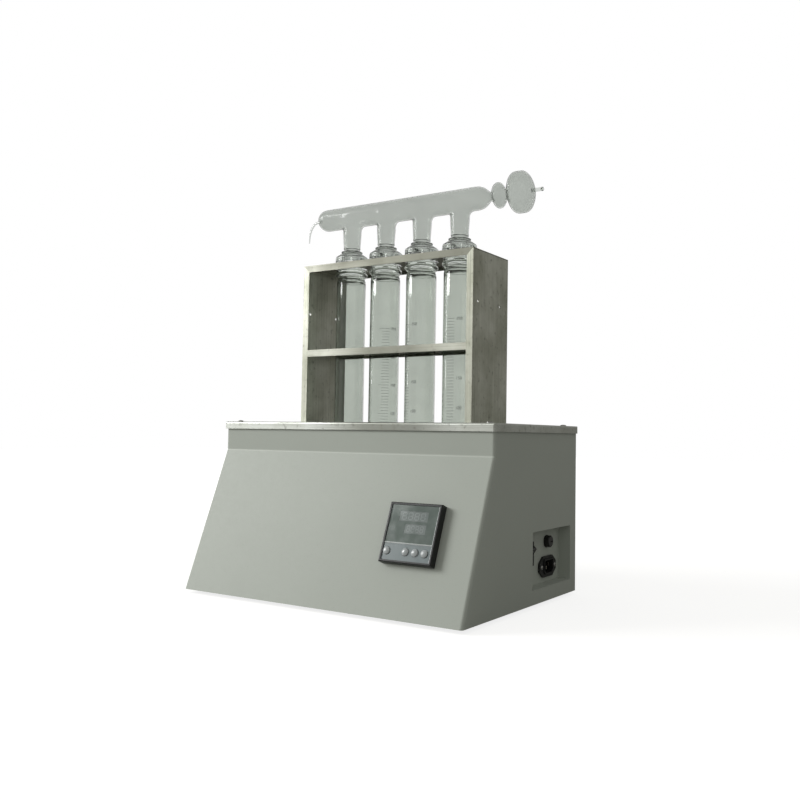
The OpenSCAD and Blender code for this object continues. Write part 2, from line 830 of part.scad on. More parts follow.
// A domed key with a retaining flange behind the panel
module key(i) {
    r = key_d / 2;
    dome = 1.2;
    sphere_r = (r * r + dome * dome) / (2 * dome);
    color([0.80, 0.81, 0.82])
        on_slope(key_x[i], key_rows_s, face_n) {
            translate([0, 0, -lens_t - eps]) cylinder(r = r, h = lens_t + key_out - dome + eps);
            intersection() {
                translate([0, 0, key_out - sphere_r]) sphere(r = sphere_r);
                translate([0, 0, key_out - dome - eps]) cylinder(r = r, h = dome + 1);
            }
            translate([0, 0, -lens_t - key_flange_t]) cylinder(r = r + 2 * key_gap, h = key_flange_t);
        }
}

module key_set() { key(0); }
module key_shift() { key(1); }
module key_down() { key(2); }
module key_up() { key(3); }

// ---- power recess ----

// Clearance hole of the inlet's and the controller's small screws
small_screw_hole = 3.4;
// Fit of every piece in its hole through the recess floor
panel_gap = 0.3;
// The switch: its bezel, body and window as half sizes [X, Y], and its rocker's pivot
switch_bezel = [12.5, 15.5, 2];
switch_in = [10.8, 14.8, 22];
switch_window = [8.5, 13.4, 13];
rocker_pivot = -3;
rocker_r = 12.8;
pin_d = 3;
// The inlet: flange, and the rim and well of its socket as [width, height, cut corner]
inlet_flange = [50, 27, 3];
inlet_hole_w = 40;
inlet_body = [27.2, 19.8, 4];
inlet_well = [24.2, 16.4, 3.4];
inlet_deep = 16;
pin_at = [[-7, 2], [7, 2], [0, -2]];
pin_half = [1, 2];
pin_back = 24;
// The fuse holder: its flange, barrel and bore
fuse_flange = [16.5, 1.5];
fuse_barrel_d = 12;
fuse_bore_d = 8.6;
fuse_deep = 33;
carrier_d = 7.6;
cartridge_d = 5.2;
cap_d = 15.5;
cap_top = 7.2;

// Flange outline of the inlet: a hexagon with its points at the two screws
module inlet_outline() {
    w = inlet_flange[0] / 2;
    h = inlet_flange[1] / 2;
    flat = 5;
    cut = 14;
    polygon([[-w, -flat], [-cut, -h], [cut, -h], [w, -flat], [w, flat], [cut, h], [-cut, h], [-w, flat]]);
}

// Socket outline of the inlet, grown by g: a rectangle with its two lower corners cut
module socket_outline(s, g = 0) {
    w = s[0] / 2 + g;
    h = s[1] / 2 + g;
    c = s[2];
    polygon([[-w, h], [-w, -h + c], [-w + c, -h], [w - c, -h], [w, -h + c], [w, h]]);
}

// Welded pocket behind the housing's opening, with the holes of the switch, fuse and inlet
module recess_pocket() {
    t = shell_t;
    y1 = recess_y0 + recess_w;
    z1 = recess_z0 + recess_h;
    lip = 8;
    in_x = side_x - shell_t;
    through = [-t - 1, 1];
    color(paint)
        difference() {
            union() {
                box([recess_floor_x - t, recess_y0 - t, recess_z0 - t], [in_x, y1 + t, z1 + t]);
                box([in_x - t, recess_y0 - lip, recess_z0 - lip], [in_x, y1 + lip, z1 + lip]);
            }
            box([recess_floor_x, recess_y0, recess_z0], [side_x + 1, y1, z1]);
            on_recess(switch_at)
                box([-switch_in[0] - panel_gap, -switch_in[1] - panel_gap, through[0]],
                    [switch_in[0] + panel_gap, switch_in[1] + panel_gap, through[1]]);
            on_recess(fuse_at)
                translate([0, 0, through[0]])
                    cylinder(r = fuse_barrel_d / 2 + panel_gap, h = through[1] - through[0]);
            on_recess(inlet_at) translate([0, 0, through[0]]) {
                linear_extrude(height = through[1] - through[0]) socket_outline(inlet_body, panel_gap);
                for (x = [-1, 1]) translate([x * inlet_hole_w / 2, 0, 0])
                    cylinder(d = small_screw_hole, h = through[1] - through[0]);
            }
        }
}

// Switch body with its bezel, the window that the rocker fills and two contact blades
module switch_body() {
    b = switch_bezel;
    s = switch_in;
    w = switch_window;
    blade = [3, 0.4, 8];
    color([0.05, 0.05, 0.05])
        on_recess(switch_at)
            difference() {
                union() {
                    linear_extrude(height = b[2]) round_rect([-b[0], -b[1]], [b[0], b[1]], 1.2);
                    box([-s[0], -s[1], -s[2]], [s[0], s[1], eps]);
                    for (y = [-7, 7])
                        box([-blade[0], y - blade[1], -s[2] - blade[2]], [blade[0], y + blade[1], -s[2] + 1]);
                }
                box([-w[0], -w[1], -w[2]], [w[0], w[1], b[2] + 1]);
                translate([-s[0] - 1, 0, rocker_pivot]) rotate([0, 90, 0])
                    cylinder(r = pin_d / 2 + 0.1, h = 2 * s[0] + 2);
            }
}

// Rocker in its off position: the lower half lies flush and the upper half stands out
module switch_rocker() {
    half_w = switch_window[0] - 0.4;
    mid = 6;
    far = 20;
    rise = far * tan(rocker_tilt);
    color([0.07, 0.07, 0.07])
        on_recess(switch_at)
            translate([0, 0, rocker_pivot]) rotate([rocker_tilt, 0, 0]) {
                rotate([90, 0, 90]) translate([0, 0, -half_w])
                    linear_extrude(height = 2 * half_w)
                        intersection() {
                            circle(r = rocker_r);
                            polygon([[0, mid], [far, mid + rise], [far, -2], [5, -5],
                                [-5, -5], [-far, -2], [-far, mid + rise]]);
                        }
                translate([-switch_in[0] + 0.2, 0, 0]) rotate([0, 90, 0])
                    cylinder(d = pin_d, h = 2 * switch_in[0] - 0.4);
            }
}

// Inlet with its socket well and a low rim round it
module power_inlet() {
    rim = 1.6;
    pin_fit = 0.2;
    wall = 3;
    color([0.06, 0.06, 0.06])
        on_recess(inlet_at)
            difference() {
                union() {
                    linear_extrude(height = inlet_flange[2]) inlet_outline();
                    translate([0, 0, -inlet_deep])
                        linear_extrude(height = inlet_deep + inlet_flange[2] + rim) socket_outline(inlet_body);
                }
                translate([0, 0, wall - inlet_deep])
                    linear_extrude(height = 2 * inlet_deep) socket_outline(inlet_well);
                for (x = [-1, 1]) translate([x * inlet_hole_w / 2, 0, -1])
                    cylinder(d = small_screw_hole, h = inlet_flange[2] + 2);
                for (p = pin_at) translate([p[0], p[1], -inlet_deep - 1])
                    box([-pin_half[0] - pin_fit, -pin_half[1] - pin_fit, 0],
                        [pin_half[0] + pin_fit, pin_half[1] + pin_fit, wall + 2]);
            }
}

// Three flat contact pins through the socket's back
module inlet_pins() {
    color([0.80, 0.78, 0.70])
        on_recess(inlet_at)
            for (p = pin_at) translate([p[0], p[1], 0])
                box([-pin_half[0], -pin_half[1], -pin_back], [pin_half[0], pin_half[1], 0.5]);
}

module inlet_screws() {
    color(steel)
        on_recess(inlet_at)
            for (x = [-1, 1]) translate([x * inlet_hole_w / 2, 0, inlet_flange[2]]) pan_screw(9, 3, 5.6, 1.6);
}

// Fuse holder body: a flanged, bored barrel through the recess floor
module fuse_holder() {
    color([0.06, 0.06, 0.06])
        on_recess(fuse_at)
            difference() {
                union() {
                    cylinder(d = fuse_flange[0], h = fuse_flange[1]);
                    translate([0, 0, -fuse_deep]) cylinder(d = fuse_barrel_d, h = fuse_deep + eps);
                }
                translate([0, 0, 3 - fuse_deep]) cylinder(d = fuse_bore_d, h = 2 * fuse_deep);
            }
}

module fuse_nut() {
    h = 3.5;
    color([0.10, 0.10, 0.10])
        on_recess(fuse_at)
            translate([0, 0, -shell_t - h])
                difference() {
                    cylinder(d = 19, h = h, $fn = 6);
                    translate([0, 0, -1]) cylinder(d = fuse_barrel_d + 0.2, h = h + 2);
                }
}

// Barrel that grips the fuse and comes out with the cap
module fuse_carrier() {
    color([0.12, 0.12, 0.12])
        on_recess(fuse_at)
            difference() {
                translate([0, 0, -9]) cylinder(d = carrier_d, h = 13);
                translate([0, 0, -10]) cylinder(d = cartridge_d + 0.2, h = 8);
            }
}

// Cartridge fuse: a thin glass tube between two metal ends
module fuse_cartridge() {
    end_h = 5;
    len = 20;
    color([0.80, 0.80, 0.78])
        on_recess(fuse_at)
            translate([0, 0, -2.2 - len]) {
                for (z = [0, len - end_h]) translate([0, 0, z]) cylinder(d = cartridge_d, h = end_h);
                translate([0, 0, end_h - 0.4]) cylinder(d = cartridge_d - 0.4, h = len - 2 * end_h + 0.8);
            }
}

// Low round cap with a coin slot, turned to free the carrier
module fuse_cap() {
    bottom = fuse_flange[1] + 0.2;
    edge = 1;
    slot = [10, 1.4, 1.2];
    color([0.07, 0.07, 0.07])
        on_recess(fuse_at)
            difference() {
                union() {
                    translate([0, 0, bottom]) cylinder(d = cap_d, h = cap_top - edge - bottom);
                    translate([0, 0, cap_top - edge - eps])
                        cylinder(d1 = cap_d, d2 = cap_d - 2 * edge, h = edge + eps);
                }
                translate([-slot[0] / 2, -slot[1] / 2, cap_top - slot[2]]) cube(slot + [0, 0, 1]);
                cylinder(d = carrier_d + 0.2, h = 4.2);
            }
}

// ---- rack ----

// Side sheet at the right; side is 1 for the right one and -1 for the left one
module rack_side(side) {
    zt = rack_z - rack_t;
    f = rack_flange;
    color(steel)
        on_row() mirror([side > 0 ? 0 : 1, 0, 0])
            difference() {
                union() {
                    box([rack_x - rack_t, rack_y0, top_z], [rack_x, rack_y1, zt]);
                    translate([0, rack_y0 + rack_t, 0]) rotate([90, 0, 0])
                        linear_extrude(height = rack_t)
                            polygon([[rack_x - f, top_z], [rack_x, top_z], [rack_x, zt], [rack_x - rack_t, zt],
                                [rack_x - f, zt - f + rack_t]]);
                    box([rack_x - rack_foot, rack_y0, top_z], [rack_x, rack_y1, top_z + rack_t]);
                }
                for (y = [hang_hole_y, hang_hole_y + hang_hole_gap])
                    translate([rack_x - 2 * rack_t, rack_y0 + y, top_z + hang_hole_z]) rotate([0, 90, 0])
                        cylinder(d = hang_hole_d, h = 4 * rack_t);
            }
}

module rack_left_side() { rack_side(-1); }
module rack_right_side() { rack_side(1); }

// Top sheet: front flange mitred to the side sheets' flanges, short back flange
module rack_top() {
    f = rack_flange;
    color(steel)
        on_row() difference() {
            union() {
                box([-rack_x, rack_y0, rack_z - rack_t], [rack_x, rack_y1, rack_z]);
                translate([0, rack_y0 + rack_t, 0]) rotate([90, 0, 0])
                    linear_extrude(height = rack_t)
                        polygon([[-rack_x, rack_z], [-rack_x + f, rack_z - f],
                            [rack_x - f, rack_z - f], [rack_x, rack_z]]);
                box([-rack_x + rack_t, rack_y1 - rack_t, rack_z - rack_back_flange],
                    [rack_x - rack_t, rack_y1, rack_z]);
            }
            for (x = tube_x) translate([x, row_y, rack_z - 5]) cylinder(d = rack_hole_d, h = 10);
        }
}

// Small holes near the shelf's back edge: two pairs, each this far from the row's middle
shelf_pair = 24.5;
shelf_pair_gap = 17;
shelf_pair_d = 3.5;

// Shelf between the side sheets that keeps the tubes upright
module rack_shelf() {
    z1 = top_z + shelf_z;
    x1 = rack_x - rack_t;
    f = rack_flange;
    color(steel)
        on_row() difference() {
            union() {
                box([-x1, rack_y0 + rack_t, z1 - rack_t], [x1, rack_y1, z1]);
                box([-rack_x + f, rack_y0, z1 - f], [rack_x - f, rack_y0 + rack_t, z1]);
                box([-x1, rack_y1 - rack_t, z1 - rack_back_flange], [x1, rack_y1, z1]);
            }
            for (x = tube_x) translate([x, row_y, z1 - 5]) cylinder(d = shelf_hole_d, h = 10);
            for (x = [-shelf_pair, shelf_pair]) for (d = [-shelf_pair_gap / 2, shelf_pair_gap / 2])
                translate([x + d, rack_y1 - 6, z1 - 5]) cylinder(d = shelf_pair_d, h = 10);
        }
}

// ---- glass ----

// One digestion tube: round bottom, long body, groove, bead, collar and mouth
module tube(i) {
    bead_top = rack_z - rack_t - bead_gap;
    bead_z = bead_top - bead_h;
    groove_z = bead_z - groove_h;
    shoulder = 3;
    bead_r = bead_d / 2;
    groove_r = groove_d / 2;
    collar_r = collar_d / 2;
    body_z = groove_z - shoulder;
    outer = concat(
        [for (a = [-90:6:0]) [tube_r * cos(a), well_z + tube_r * sin(a)]],
        [for (a = [0:15:90]) [groove_r + (tube_r - groove_r) * cos(a), body_z + shoulder * sin(a)]],
        [[groove_r, bead_z]],
        [for (a = [-60:20:60])
            [bead_r - bead_h / 2 + bead_h / 2 * cos(a), bead_z + bead_h / 2 + bead_h / 2 * sin(a)]],
        [[tube_r, bead_top + 1], [tube_r, rack_z], [collar_r - 1, rack_z], [collar_r, rack_z + 1],
         [collar_r, rack_z + collar_h - 1], [collar_r - 1, rack_z + collar_h], [tube_r, rack_z + collar_h],
         [tube_r, mouth_z]]);
    inner = concat(
        [[bore_r, mouth_z], [bore_r, bead_top], [bore_r + 0.6, bead_z + bead_h / 2],
         [groove_r - tube_wall, groove_z + 2], [groove_r - tube_wall, groove_z], [bore_r, body_z]],
        [for (a = [0:-6:-90]) [bore_r * cos(a), well_z + bore_r * sin(a)]]);
    color(glass)
        translate([row_x + tube_x[i], row_y, 0]) rotate_extrude() polygon(concat(outer, inner));
}

module tube_1() { tube(0); }
module tube_2() { tube(1); }
module tube_3() { tube(2); }
module tube_4() { tube(3); }

// Half of a bulb's outline as [x, radius], from one angle to another
function bulb(x, half, r, a0, a1, step) = [for (a = [a0:step:a1]) [x + half * cos(a), r * sin(a)]];

// Outline of the long tube, its bulbs and nozzle, as [x, radius], drawn in by t
function header_outline(t) =
    let (
        r = header_r - t,
        n = neck_d / 2 - t,
        w = waist_d / 2 - t,
        z = nozzle_d / 2 - min(t, nozzle_d / 4),
        small = bulb_small_d / 2 - t,
        large = bulb_large_d / 2 - t,
        small_half = bulb_small_half - t,
        large_half = bulb_large_half - t,
        a_neck = asin(n / small),
        a_waist = asin(w / small),
        b_waist = asin(w / large),
        b_nozzle = asin(z / large),
        end = t > 0 ? 1 : 0
    )
    concat(
        [for (a = [0:10:90]) [-header_left + header_r - r * cos(a), r * sin(a)]],
        [[header_right - t, r], [header_right + 2, r - 0.6],
         [bulb_small_x - small_half * cos(a_neck) - 6, n + 0.8]],
        bulb(bulb_small_x, small_half, small, 180 - a_neck, a_waist, -(180 - a_neck - a_waist) / 12),
        bulb(bulb_large_x, large_half, large, 180 - b_waist, b_nozzle, -(180 - b_waist - b_nozzle) / 16),
        [[nozzle_x + end, z], [nozzle_x + end, 0]]);

// Outline of a branch with its ring and skirt, as [radius, z]
function branch_outline() =
    let (
        r = branch_d / 2,
        f = branch_fillet,
        top = axis_z,
        fz = axis_z - header_r * 0.9 - f,
        cone_z = mouth_z + glass_t,
        ring_r = ring_d / 2,
        skirt_r = skirt_d / 2
    )
    concat(
        [[0, top], [r + f * 0.55, top]],
        [for (a = [60:-12:0]) [r + f * (1 - cos(a)), fz + f * sin(a)]],
        [[r, ring_z]],
        [for (a = [70:-20:-70])
            [ring_r - ring_h / 2 + ring_h / 2 * cos(a), ring_z - ring_h / 2 + ring_h / 2 * sin(a)]],
        [[ring_r - 1.5, cone_z + skirt_cone_h], [skirt_r - 1, cone_z + 0.6], [skirt_r, cone_z - 1],
         [skirt_r, mouth_z - skirt_h], [0, mouth_z - skirt_h]]);

// Bore of a branch: wide over the tube's mouth, a short cone, then narrow up to the long tube
module branch_bore() {
    r = branch_d / 2 - glass_t;
    skirt_in = tube_r + skirt_gap;
    bottom = mouth_z - skirt_h - 1;
    translate([0, 0, bottom]) cylinder(r = r, h = axis_z - bottom);
    translate([0, 0, bottom]) cylinder(r = skirt_in, h = skirt_h + 1);
    translate([0, 0, mouth_z - eps]) cylinder(r1 = bore_r - 1, r2 = r, h = 4);
}

// Bore of the drip tube, and how far the tube leaves the end below the axis
hook_bore = 1.5;
hook_below = 1.5;

// Bent drip tube: level out of the left end, a quarter turn, then straight down
module hook(d) {
    x1 = -header_left - hook_reach;
    z1 = axis_z - hook_below;
    translate([x1, row_y, z1]) rotate([0, 90, 0]) cylinder(d = d, h = hook_reach + 4);
    translate([x1, row_y, z1 - hook_r]) rotate([90, 0, 0]) rotate([0, 0, 90])
        rotate_extrude(angle = 90) translate([hook_r, 0]) circle(d = d);
    translate([x1 - hook_r, row_y, z1 - hook_r - hook_drop]) cylinder(d = d, h = hook_drop + eps);
}

module manifold() {
    color(glass)
        on_row() difference() {
            union() {
                translate([0, row_y, axis_z]) rotate([0, 90, 0]) rotate([0, 0, 90])
                    rotate_extrude() standing_outline(header_outline(0));
                for (x = tube_x) translate([x, row_y, 0]) rotate_extrude() polygon(branch_outline());
                hook(hook_d);
            }
            translate([0, row_y, axis_z]) rotate([0, 90, 0]) rotate([0, 0, 90])
                rotate_extrude() standing_outline(header_outline(glass_t));
            for (x = tube_x) translate([x, row_y, 0]) branch_bore();
            hook(hook_bore);
        }
}

// A revolve outline given as [length, radius], stood up so that its length runs along Z
module standing_outline(pts) {
    polygon(concat([[0, pts[0][0]]], [for (p = pts) [p[1], p[0]]]));
}

housing_shell();
base_pan();
back_panel();
feet();
foot_screws();
pan_screws();
back_screws();
top_plate();
top_screws();
heating_block();
heater_rods();
temperature_probe();
insulation_shell();
insulation_lid();
insulation_tray();
tray_pillars();
heat_sink();
solid_state_relay();
terminal_block();
controller_case();
controller_bezel();
controller_lens();
controller_keypanel();
display_board();
controller_clamps();
key_set();
key_shift();
key_down();
key_up();
recess_pocket();
switch_body();
switch_rocker();
power_inlet();
inlet_pins();
inlet_screws();
fuse_holder();
fuse_nut();
fuse_carrier();
fuse_cartridge();
fuse_cap();
rack_left_side();
rack_right_side();
rack_top();
rack_shelf();
tube_1();
tube_2();
tube_3();
tube_4();
manifold();
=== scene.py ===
# %% [markdown]
# # Dressing a block digester
#
# The object is a laboratory block digester: a sloping, painted sheet-metal base with a heated
# block inside, a stainless rack of four long glass tubes that stand in it, and a glass exhaust
# manifold that covers their mouths.
#
# The solids come from the CAD model and keep their places. This notebook gives them finishes,
# and adds what a solid model leaves out: real glass surfaces, graduations, digits and marks.
# Every new shape is worked out with numpy as a surface, so that one formula gives the whole form.

# %% Load the solids
import math

import bpy
import numpy as np
from mathutils import Matrix, Vector


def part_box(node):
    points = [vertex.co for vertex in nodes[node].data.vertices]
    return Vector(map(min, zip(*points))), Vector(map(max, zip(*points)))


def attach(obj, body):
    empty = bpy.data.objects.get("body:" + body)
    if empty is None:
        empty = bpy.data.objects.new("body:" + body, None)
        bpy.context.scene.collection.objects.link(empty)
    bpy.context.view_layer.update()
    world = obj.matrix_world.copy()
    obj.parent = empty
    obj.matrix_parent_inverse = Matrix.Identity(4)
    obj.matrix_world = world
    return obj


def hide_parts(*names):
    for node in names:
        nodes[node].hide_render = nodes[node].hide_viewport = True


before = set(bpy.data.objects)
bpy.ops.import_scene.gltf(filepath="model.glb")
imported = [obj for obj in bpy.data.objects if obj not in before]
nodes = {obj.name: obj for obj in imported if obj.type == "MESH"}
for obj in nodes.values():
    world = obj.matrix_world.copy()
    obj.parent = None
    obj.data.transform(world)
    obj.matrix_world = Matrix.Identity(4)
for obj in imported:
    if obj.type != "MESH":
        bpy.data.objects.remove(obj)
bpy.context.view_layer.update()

# %% [markdown]
# ## The camera
#
# A camera can be placed by eye, or worked out from points whose place is known on the object and
# in the picture. The second way was used: position, turn and focal length fit about fifty points.
# The lens shift stands for a picture that was cropped off-centre.

# %% Camera from the fitted view
EYE = Vector((0.685836, -0.968780, 0.213116))
RIGHT = Vector((0.84754595, 0.53050713, 0.01510114))
UP = Vector((0.01460554, -0.05175831, 0.99855283))
AHEAD = Vector((-0.530521, 0.84609885, 0.05161589))
PICTURE = 800
FOCAL_PX = 868.52
CENTRE_PX = (435.01, 390.89)

camera_data = bpy.data.cameras.new("camera")
camera = bpy.data.objects.new("camera", camera_data)
bpy.context.collection.objects.link(camera)
turn = Matrix((RIGHT, UP, -AHEAD)).transposed()
camera.matrix_world = Matrix.Translation(EYE) @ turn.to_4x4()
camera_data.sensor_width = 36
camera_data.lens = FOCAL_PX * camera_data.sensor_width / PICTURE
camera_data.shift_x = (PICTURE / 2 - CENTRE_PX[0]) / PICTURE
camera_data.shift_y = (CENTRE_PX[1] - PICTURE / 2) / PICTURE
bpy.context.scene.camera = camera
bpy.context.scene.view_settings.view_transform = "Standard"
print("lens", round(camera_data.lens, 2), "mm, shift",
      round(camera_data.shift_x, 4), round(camera_data.shift_y, 4))

# %% [markdown]
# ## A small workbench for finishes
#
# A finish is a small network of nodes. These helpers each add one node, for a material or for the
# room round the object, so that the finishes below read as short recipes.

# %% Node helpers
def srgb(r, g, b):
    """Linear colour of an 8-bit screen colour: over 255, then the screen's curve undone."""
    c = np.array([r, g, b]) / 255
    return tuple(np.where(c <= 0.04045, c / 12.92, ((c + 0.055) / 1.055) ** 2.4)) + (1.0,)


def feed(tree, value, socket):
    """Gives a socket its value: a number or colour is written in, a node's output is linked."""
    if isinstance(value, (int, float, tuple)):
        socket.default_value = value
    else:
        tree.links.new(value, socket)


def maths_of(tree, operation, first, second=0):
    """A Math node: MULTIPLY gives first x second, ABSOLUTE the size of first alone, and so on."""
    node = tree.nodes.new("ShaderNodeMath")
    node.operation = operation
    feed(tree, first, node.inputs[0])
    feed(tree, second, node.inputs[1])
    return node.outputs[0]


def range_of(tree, value, low, high, to_low, to_high, eased=False):
    """Carries value from [low, high] to [to_low, to_high], straight or eased, and stops there."""
    node = tree.nodes.new("ShaderNodeMapRange")
    node.interpolation_type = "SMOOTHSTEP" if eased else "LINEAR"
    numbers = {"From Min": low, "From Max": high, "To Min": to_low, "To Max": to_high}
    for name, number in numbers.items():
        node.inputs[name].default_value = number
    tree.links.new(value, node.inputs["Value"])
    return node.outputs["Result"]


def mix_of(tree, share, first, second):
    """The first colour where share is 0 and the second where it is 1."""
    node = tree.nodes.new("ShaderNodeMix")
    node.data_type = "RGBA"
    tree.links.new(share, node.inputs["Factor"])
    colours = [socket for socket in node.inputs if socket.type == "RGBA"]
    feed(tree, first, colours[0])
    feed(tree, second, colours[1])
    return [socket for socket in node.outputs if socket.type == "RGBA"][0]


def axes_of(tree, vector):
    """A vector's X, Y and Z as three outputs."""
    node = tree.nodes.new("ShaderNodeSeparateXYZ")
    tree.links.new(vector, node.inputs["Vector"])
    return node.outputs


print("mid grey passes", round(float(srgb(128, 128, 128)[0]), 3), "of the light")

# %% [markdown]
# Every finish starts from the Principled shader. Its variation comes from noise that is read at
# Object coordinates, which are plain metres on the object, so a grain has the same size on every
# piece and stays put when the piece moves.

# %% Finishes
class Finish:
    """A material with its Principled shader and the few kinds of node that this object needs."""

    def __init__(self, name, roughness=0.5, metallic=0.0, colour=(0.5, 0.5, 0.5, 1)):
        self.material = bpy.data.materials.new(name)
        self.material.use_nodes = True
        self.tree = self.material.node_tree
        self.shader = self.tree.nodes["Principled BSDF"]
        self.set(Roughness=roughness, Metallic=metallic, Base_Color=colour)
        self.coords = self.tree.nodes.new("ShaderNodeTexCoord").outputs["Object"]

    def set(self, **values):
        """Writes plain values into the shader's own sockets; an underscore stands for a space."""
        for name, value in values.items():
            self.shader.inputs[name.replace("_", " ")].default_value = value

    def link(self, output, name):
        """Feeds one of the shader's sockets from another node."""
        self.tree.links.new(output, self.shader.inputs[name])

    def axes(self):
        """X, Y and Z on the object, in metres."""
        return axes_of(self.tree, self.coords)

    def stretched(self, x, y, z):
        """Coordinates scaled on each axis: a large number packs a pattern tighter along it."""
        node = self.tree.nodes.new("ShaderNodeMapping")
        node.inputs["Scale"].default_value = (x, y, z)
        self.tree.links.new(self.coords, node.inputs["Vector"])
        return node.outputs["Vector"]

    def noise(self, scale, detail=4.0, rough=0.5, at=None):
        """Cloudy noise about 0.5: scale is how many clouds fit in a metre."""
        node = self.tree.nodes.new("ShaderNodeTexNoise")
        node.inputs["Scale"].default_value = scale
        node.inputs["Detail"].default_value = detail
        node.inputs["Roughness"].default_value = rough
        self.tree.links.new(at or self.coords, node.inputs["Vector"])
        return node.outputs["Fac"]

    def between(self, value, low, high, to_low=0.0, to_high=1.0):
        """Carries value from [low, high] to [to_low, to_high] and stops at the ends."""
        return range_of(self.tree, value, low, high, to_low, to_high)

    def mixed(self, share, first, second):
        """The first colour where share is 0 and the second where it is 1."""
        return mix_of(self.tree, share, first, second)

    def maths(self, operation, first, second=0):
        """A sum, product or the like of two values."""
        return maths_of(self.tree, operation, first, second)

    def two_tone(self, pattern, low, high, first, second):
        """Base colour: the first where the pattern is below low, the second where above high."""
        self.link(self.mixed(self.between(pattern, low, high), first, second), "Base Color")

    def uneven_gloss(self, pattern, low, high, smooth, dull):
        """Roughness: smooth where the pattern is below low, dull where above high."""
        self.link(self.between(pattern, low, high, smooth, dull), "Roughness")

    def bump(self, height, distance, strength=1.0):
        """Small relief: height moves the surface by up to distance, in metres."""
        node = self.tree.nodes.new("ShaderNodeBump")
        node.inputs["Distance"].default_value = distance
        node.inputs["Strength"].default_value = strength
        self.tree.links.new(height, node.inputs["Height"])
        self.link(node.outputs["Normal"], "Normal")


def dress(material, *names):
    """Gives whole solids one material."""
    for name in names:
        mesh = nodes[name].data
        mesh.materials.clear()
        mesh.materials.append(material)


print("workbench ready")

# %% [markdown]
# ## Painted housing
#
# The base is sheet steel with a pale grey-green powder coat. Powder flows into a very fine
# orange-peel skin, so the finish needs a millimetre-sized bump, a half-matt gloss, and a cloudy
# change of tone too faint to see as a pattern. A pale line painted along the bend from strip to
# slope is a painted highlight, where the bent edge catches the light.

# %% Paint
BEND_Y, BEND_Z = -0.08425, 0.190
# The painted highlight is full within the first squared distance from the bend and gone at the
# second.
HIGHLIGHT_FULL, HIGHLIGHT_GONE = 2e-7, 2e-6

paint = Finish("powder_coat")
cloud = paint.noise(5, detail=2)
tone = paint.mixed(paint.between(cloud, 0.35, 0.65), srgb(181, 187, 178), srgb(178, 184, 175))
speck = paint.between(paint.noise(900, detail=1), 0.66, 0.75)
tone = paint.mixed(paint.maths("MULTIPLY", speck, 0.35), tone, srgb(150, 154, 147))
off_y = paint.maths("SUBTRACT", paint.axes()["Y"], BEND_Y)
off_z = paint.maths("SUBTRACT", paint.axes()["Z"], BEND_Z)
off_y, off_z = (paint.maths("MULTIPLY", off, off) for off in (off_y, off_z))
# Painted highlight: a pale colour mixed in along the bend from strip to slope.
bend_highlight = paint.between(paint.maths("ADD", off_y, off_z), HIGHLIGHT_FULL, HIGHLIGHT_GONE, 0.7, 0.0)
paint.link(paint.mixed(bend_highlight, tone, srgb(204, 210, 201)), "Base Color")
paint.uneven_gloss(paint.noise(220, detail=2), 0.3, 0.7, 0.48, 0.54)
paint.set(Specular_IOR_Level=0.3)
paint.bump(paint.noise(700, detail=2), distance=0.00006, strength=0.35)
dress(paint.material, "housing_shell", "back_panel", "recess_pocket")
print("painted:", paint.material.name)

# %% [markdown]
# ## Stainless sheet
#
# The rack and the top plate are bare stainless steel that has lived over hot acid. Three things
# make it read as such: fine brush lines along the sheet, wide cloudy changes of tone, and small
# dull spots. A wide, darker brownish band across the middle of some sheets is a painted reflection
# of the room. The lines are noise packed up to two hundred times tighter across the brushing than
# along it.

# %% Stainless steel
ALONG_X, ALONG_Z = (5, 900, 900), (900, 900, 6)
# The first colour is that of the painted reflection band; the others are the brush lines and the
# dull spots.
REFLECTION_DARK, LINE_GREY, SPOT_BROWN = srgb(92, 93, 80), srgb(120, 120, 110), srgb(84, 82, 72)


def stainless(name, brush, light, dark, dark_reflection=None):
    """Brushed steel; brush gives how tight the lines are packed on each axis.

    dark_reflection, if given, is a brownish band of painted reflection: its middle on the X axis,
    half width and strength.
    """
    steel = Finish(name, roughness=0.46, metallic=0.92)
    lines = steel.noise(1.0, detail=3, rough=0.6, at=steel.stretched(*brush))
    clouds = steel.noise(16, detail=5, rough=0.62)
    spots = steel.between(steel.noise(140, detail=3), 0.6, 0.72)
    tone = steel.mixed(steel.between(clouds, 0.38, 0.66), light, dark)
    # Painted reflection: a darker brownish band across the sheet, its edge made uneven by the
    # clouds.
    if dark_reflection:
        centre, half, strength = dark_reflection
        away = steel.maths("ABSOLUTE", steel.maths("SUBTRACT", steel.axes()["X"], centre))
        edge = steel.maths("ADD", away, steel.between(clouds, 0.3, 0.7, -0.02, 0.02))
        tone = steel.mixed(steel.between(edge, half * 0.35, half, strength, 0.0), tone, REFLECTION_DARK)
    brushed = steel.maths("MULTIPLY", steel.between(lines, 0.35, 0.65), 0.30)
    tone = steel.mixed(brushed, tone, LINE_GREY)
    steel.link(steel.mixed(steel.maths("MULTIPLY", spots, 0.35), tone, SPOT_BROWN), "Base Color")
    rough = steel.maths("ADD", steel.between(lines, 0.3, 0.7, 0.0, 0.10),
                        steel.between(clouds, 0.35, 0.7, 0.38, 0.54))
    steel.link(rough, "Roughness")
    steel.bump(lines, distance=0.00003, strength=0.5)
    return steel.material


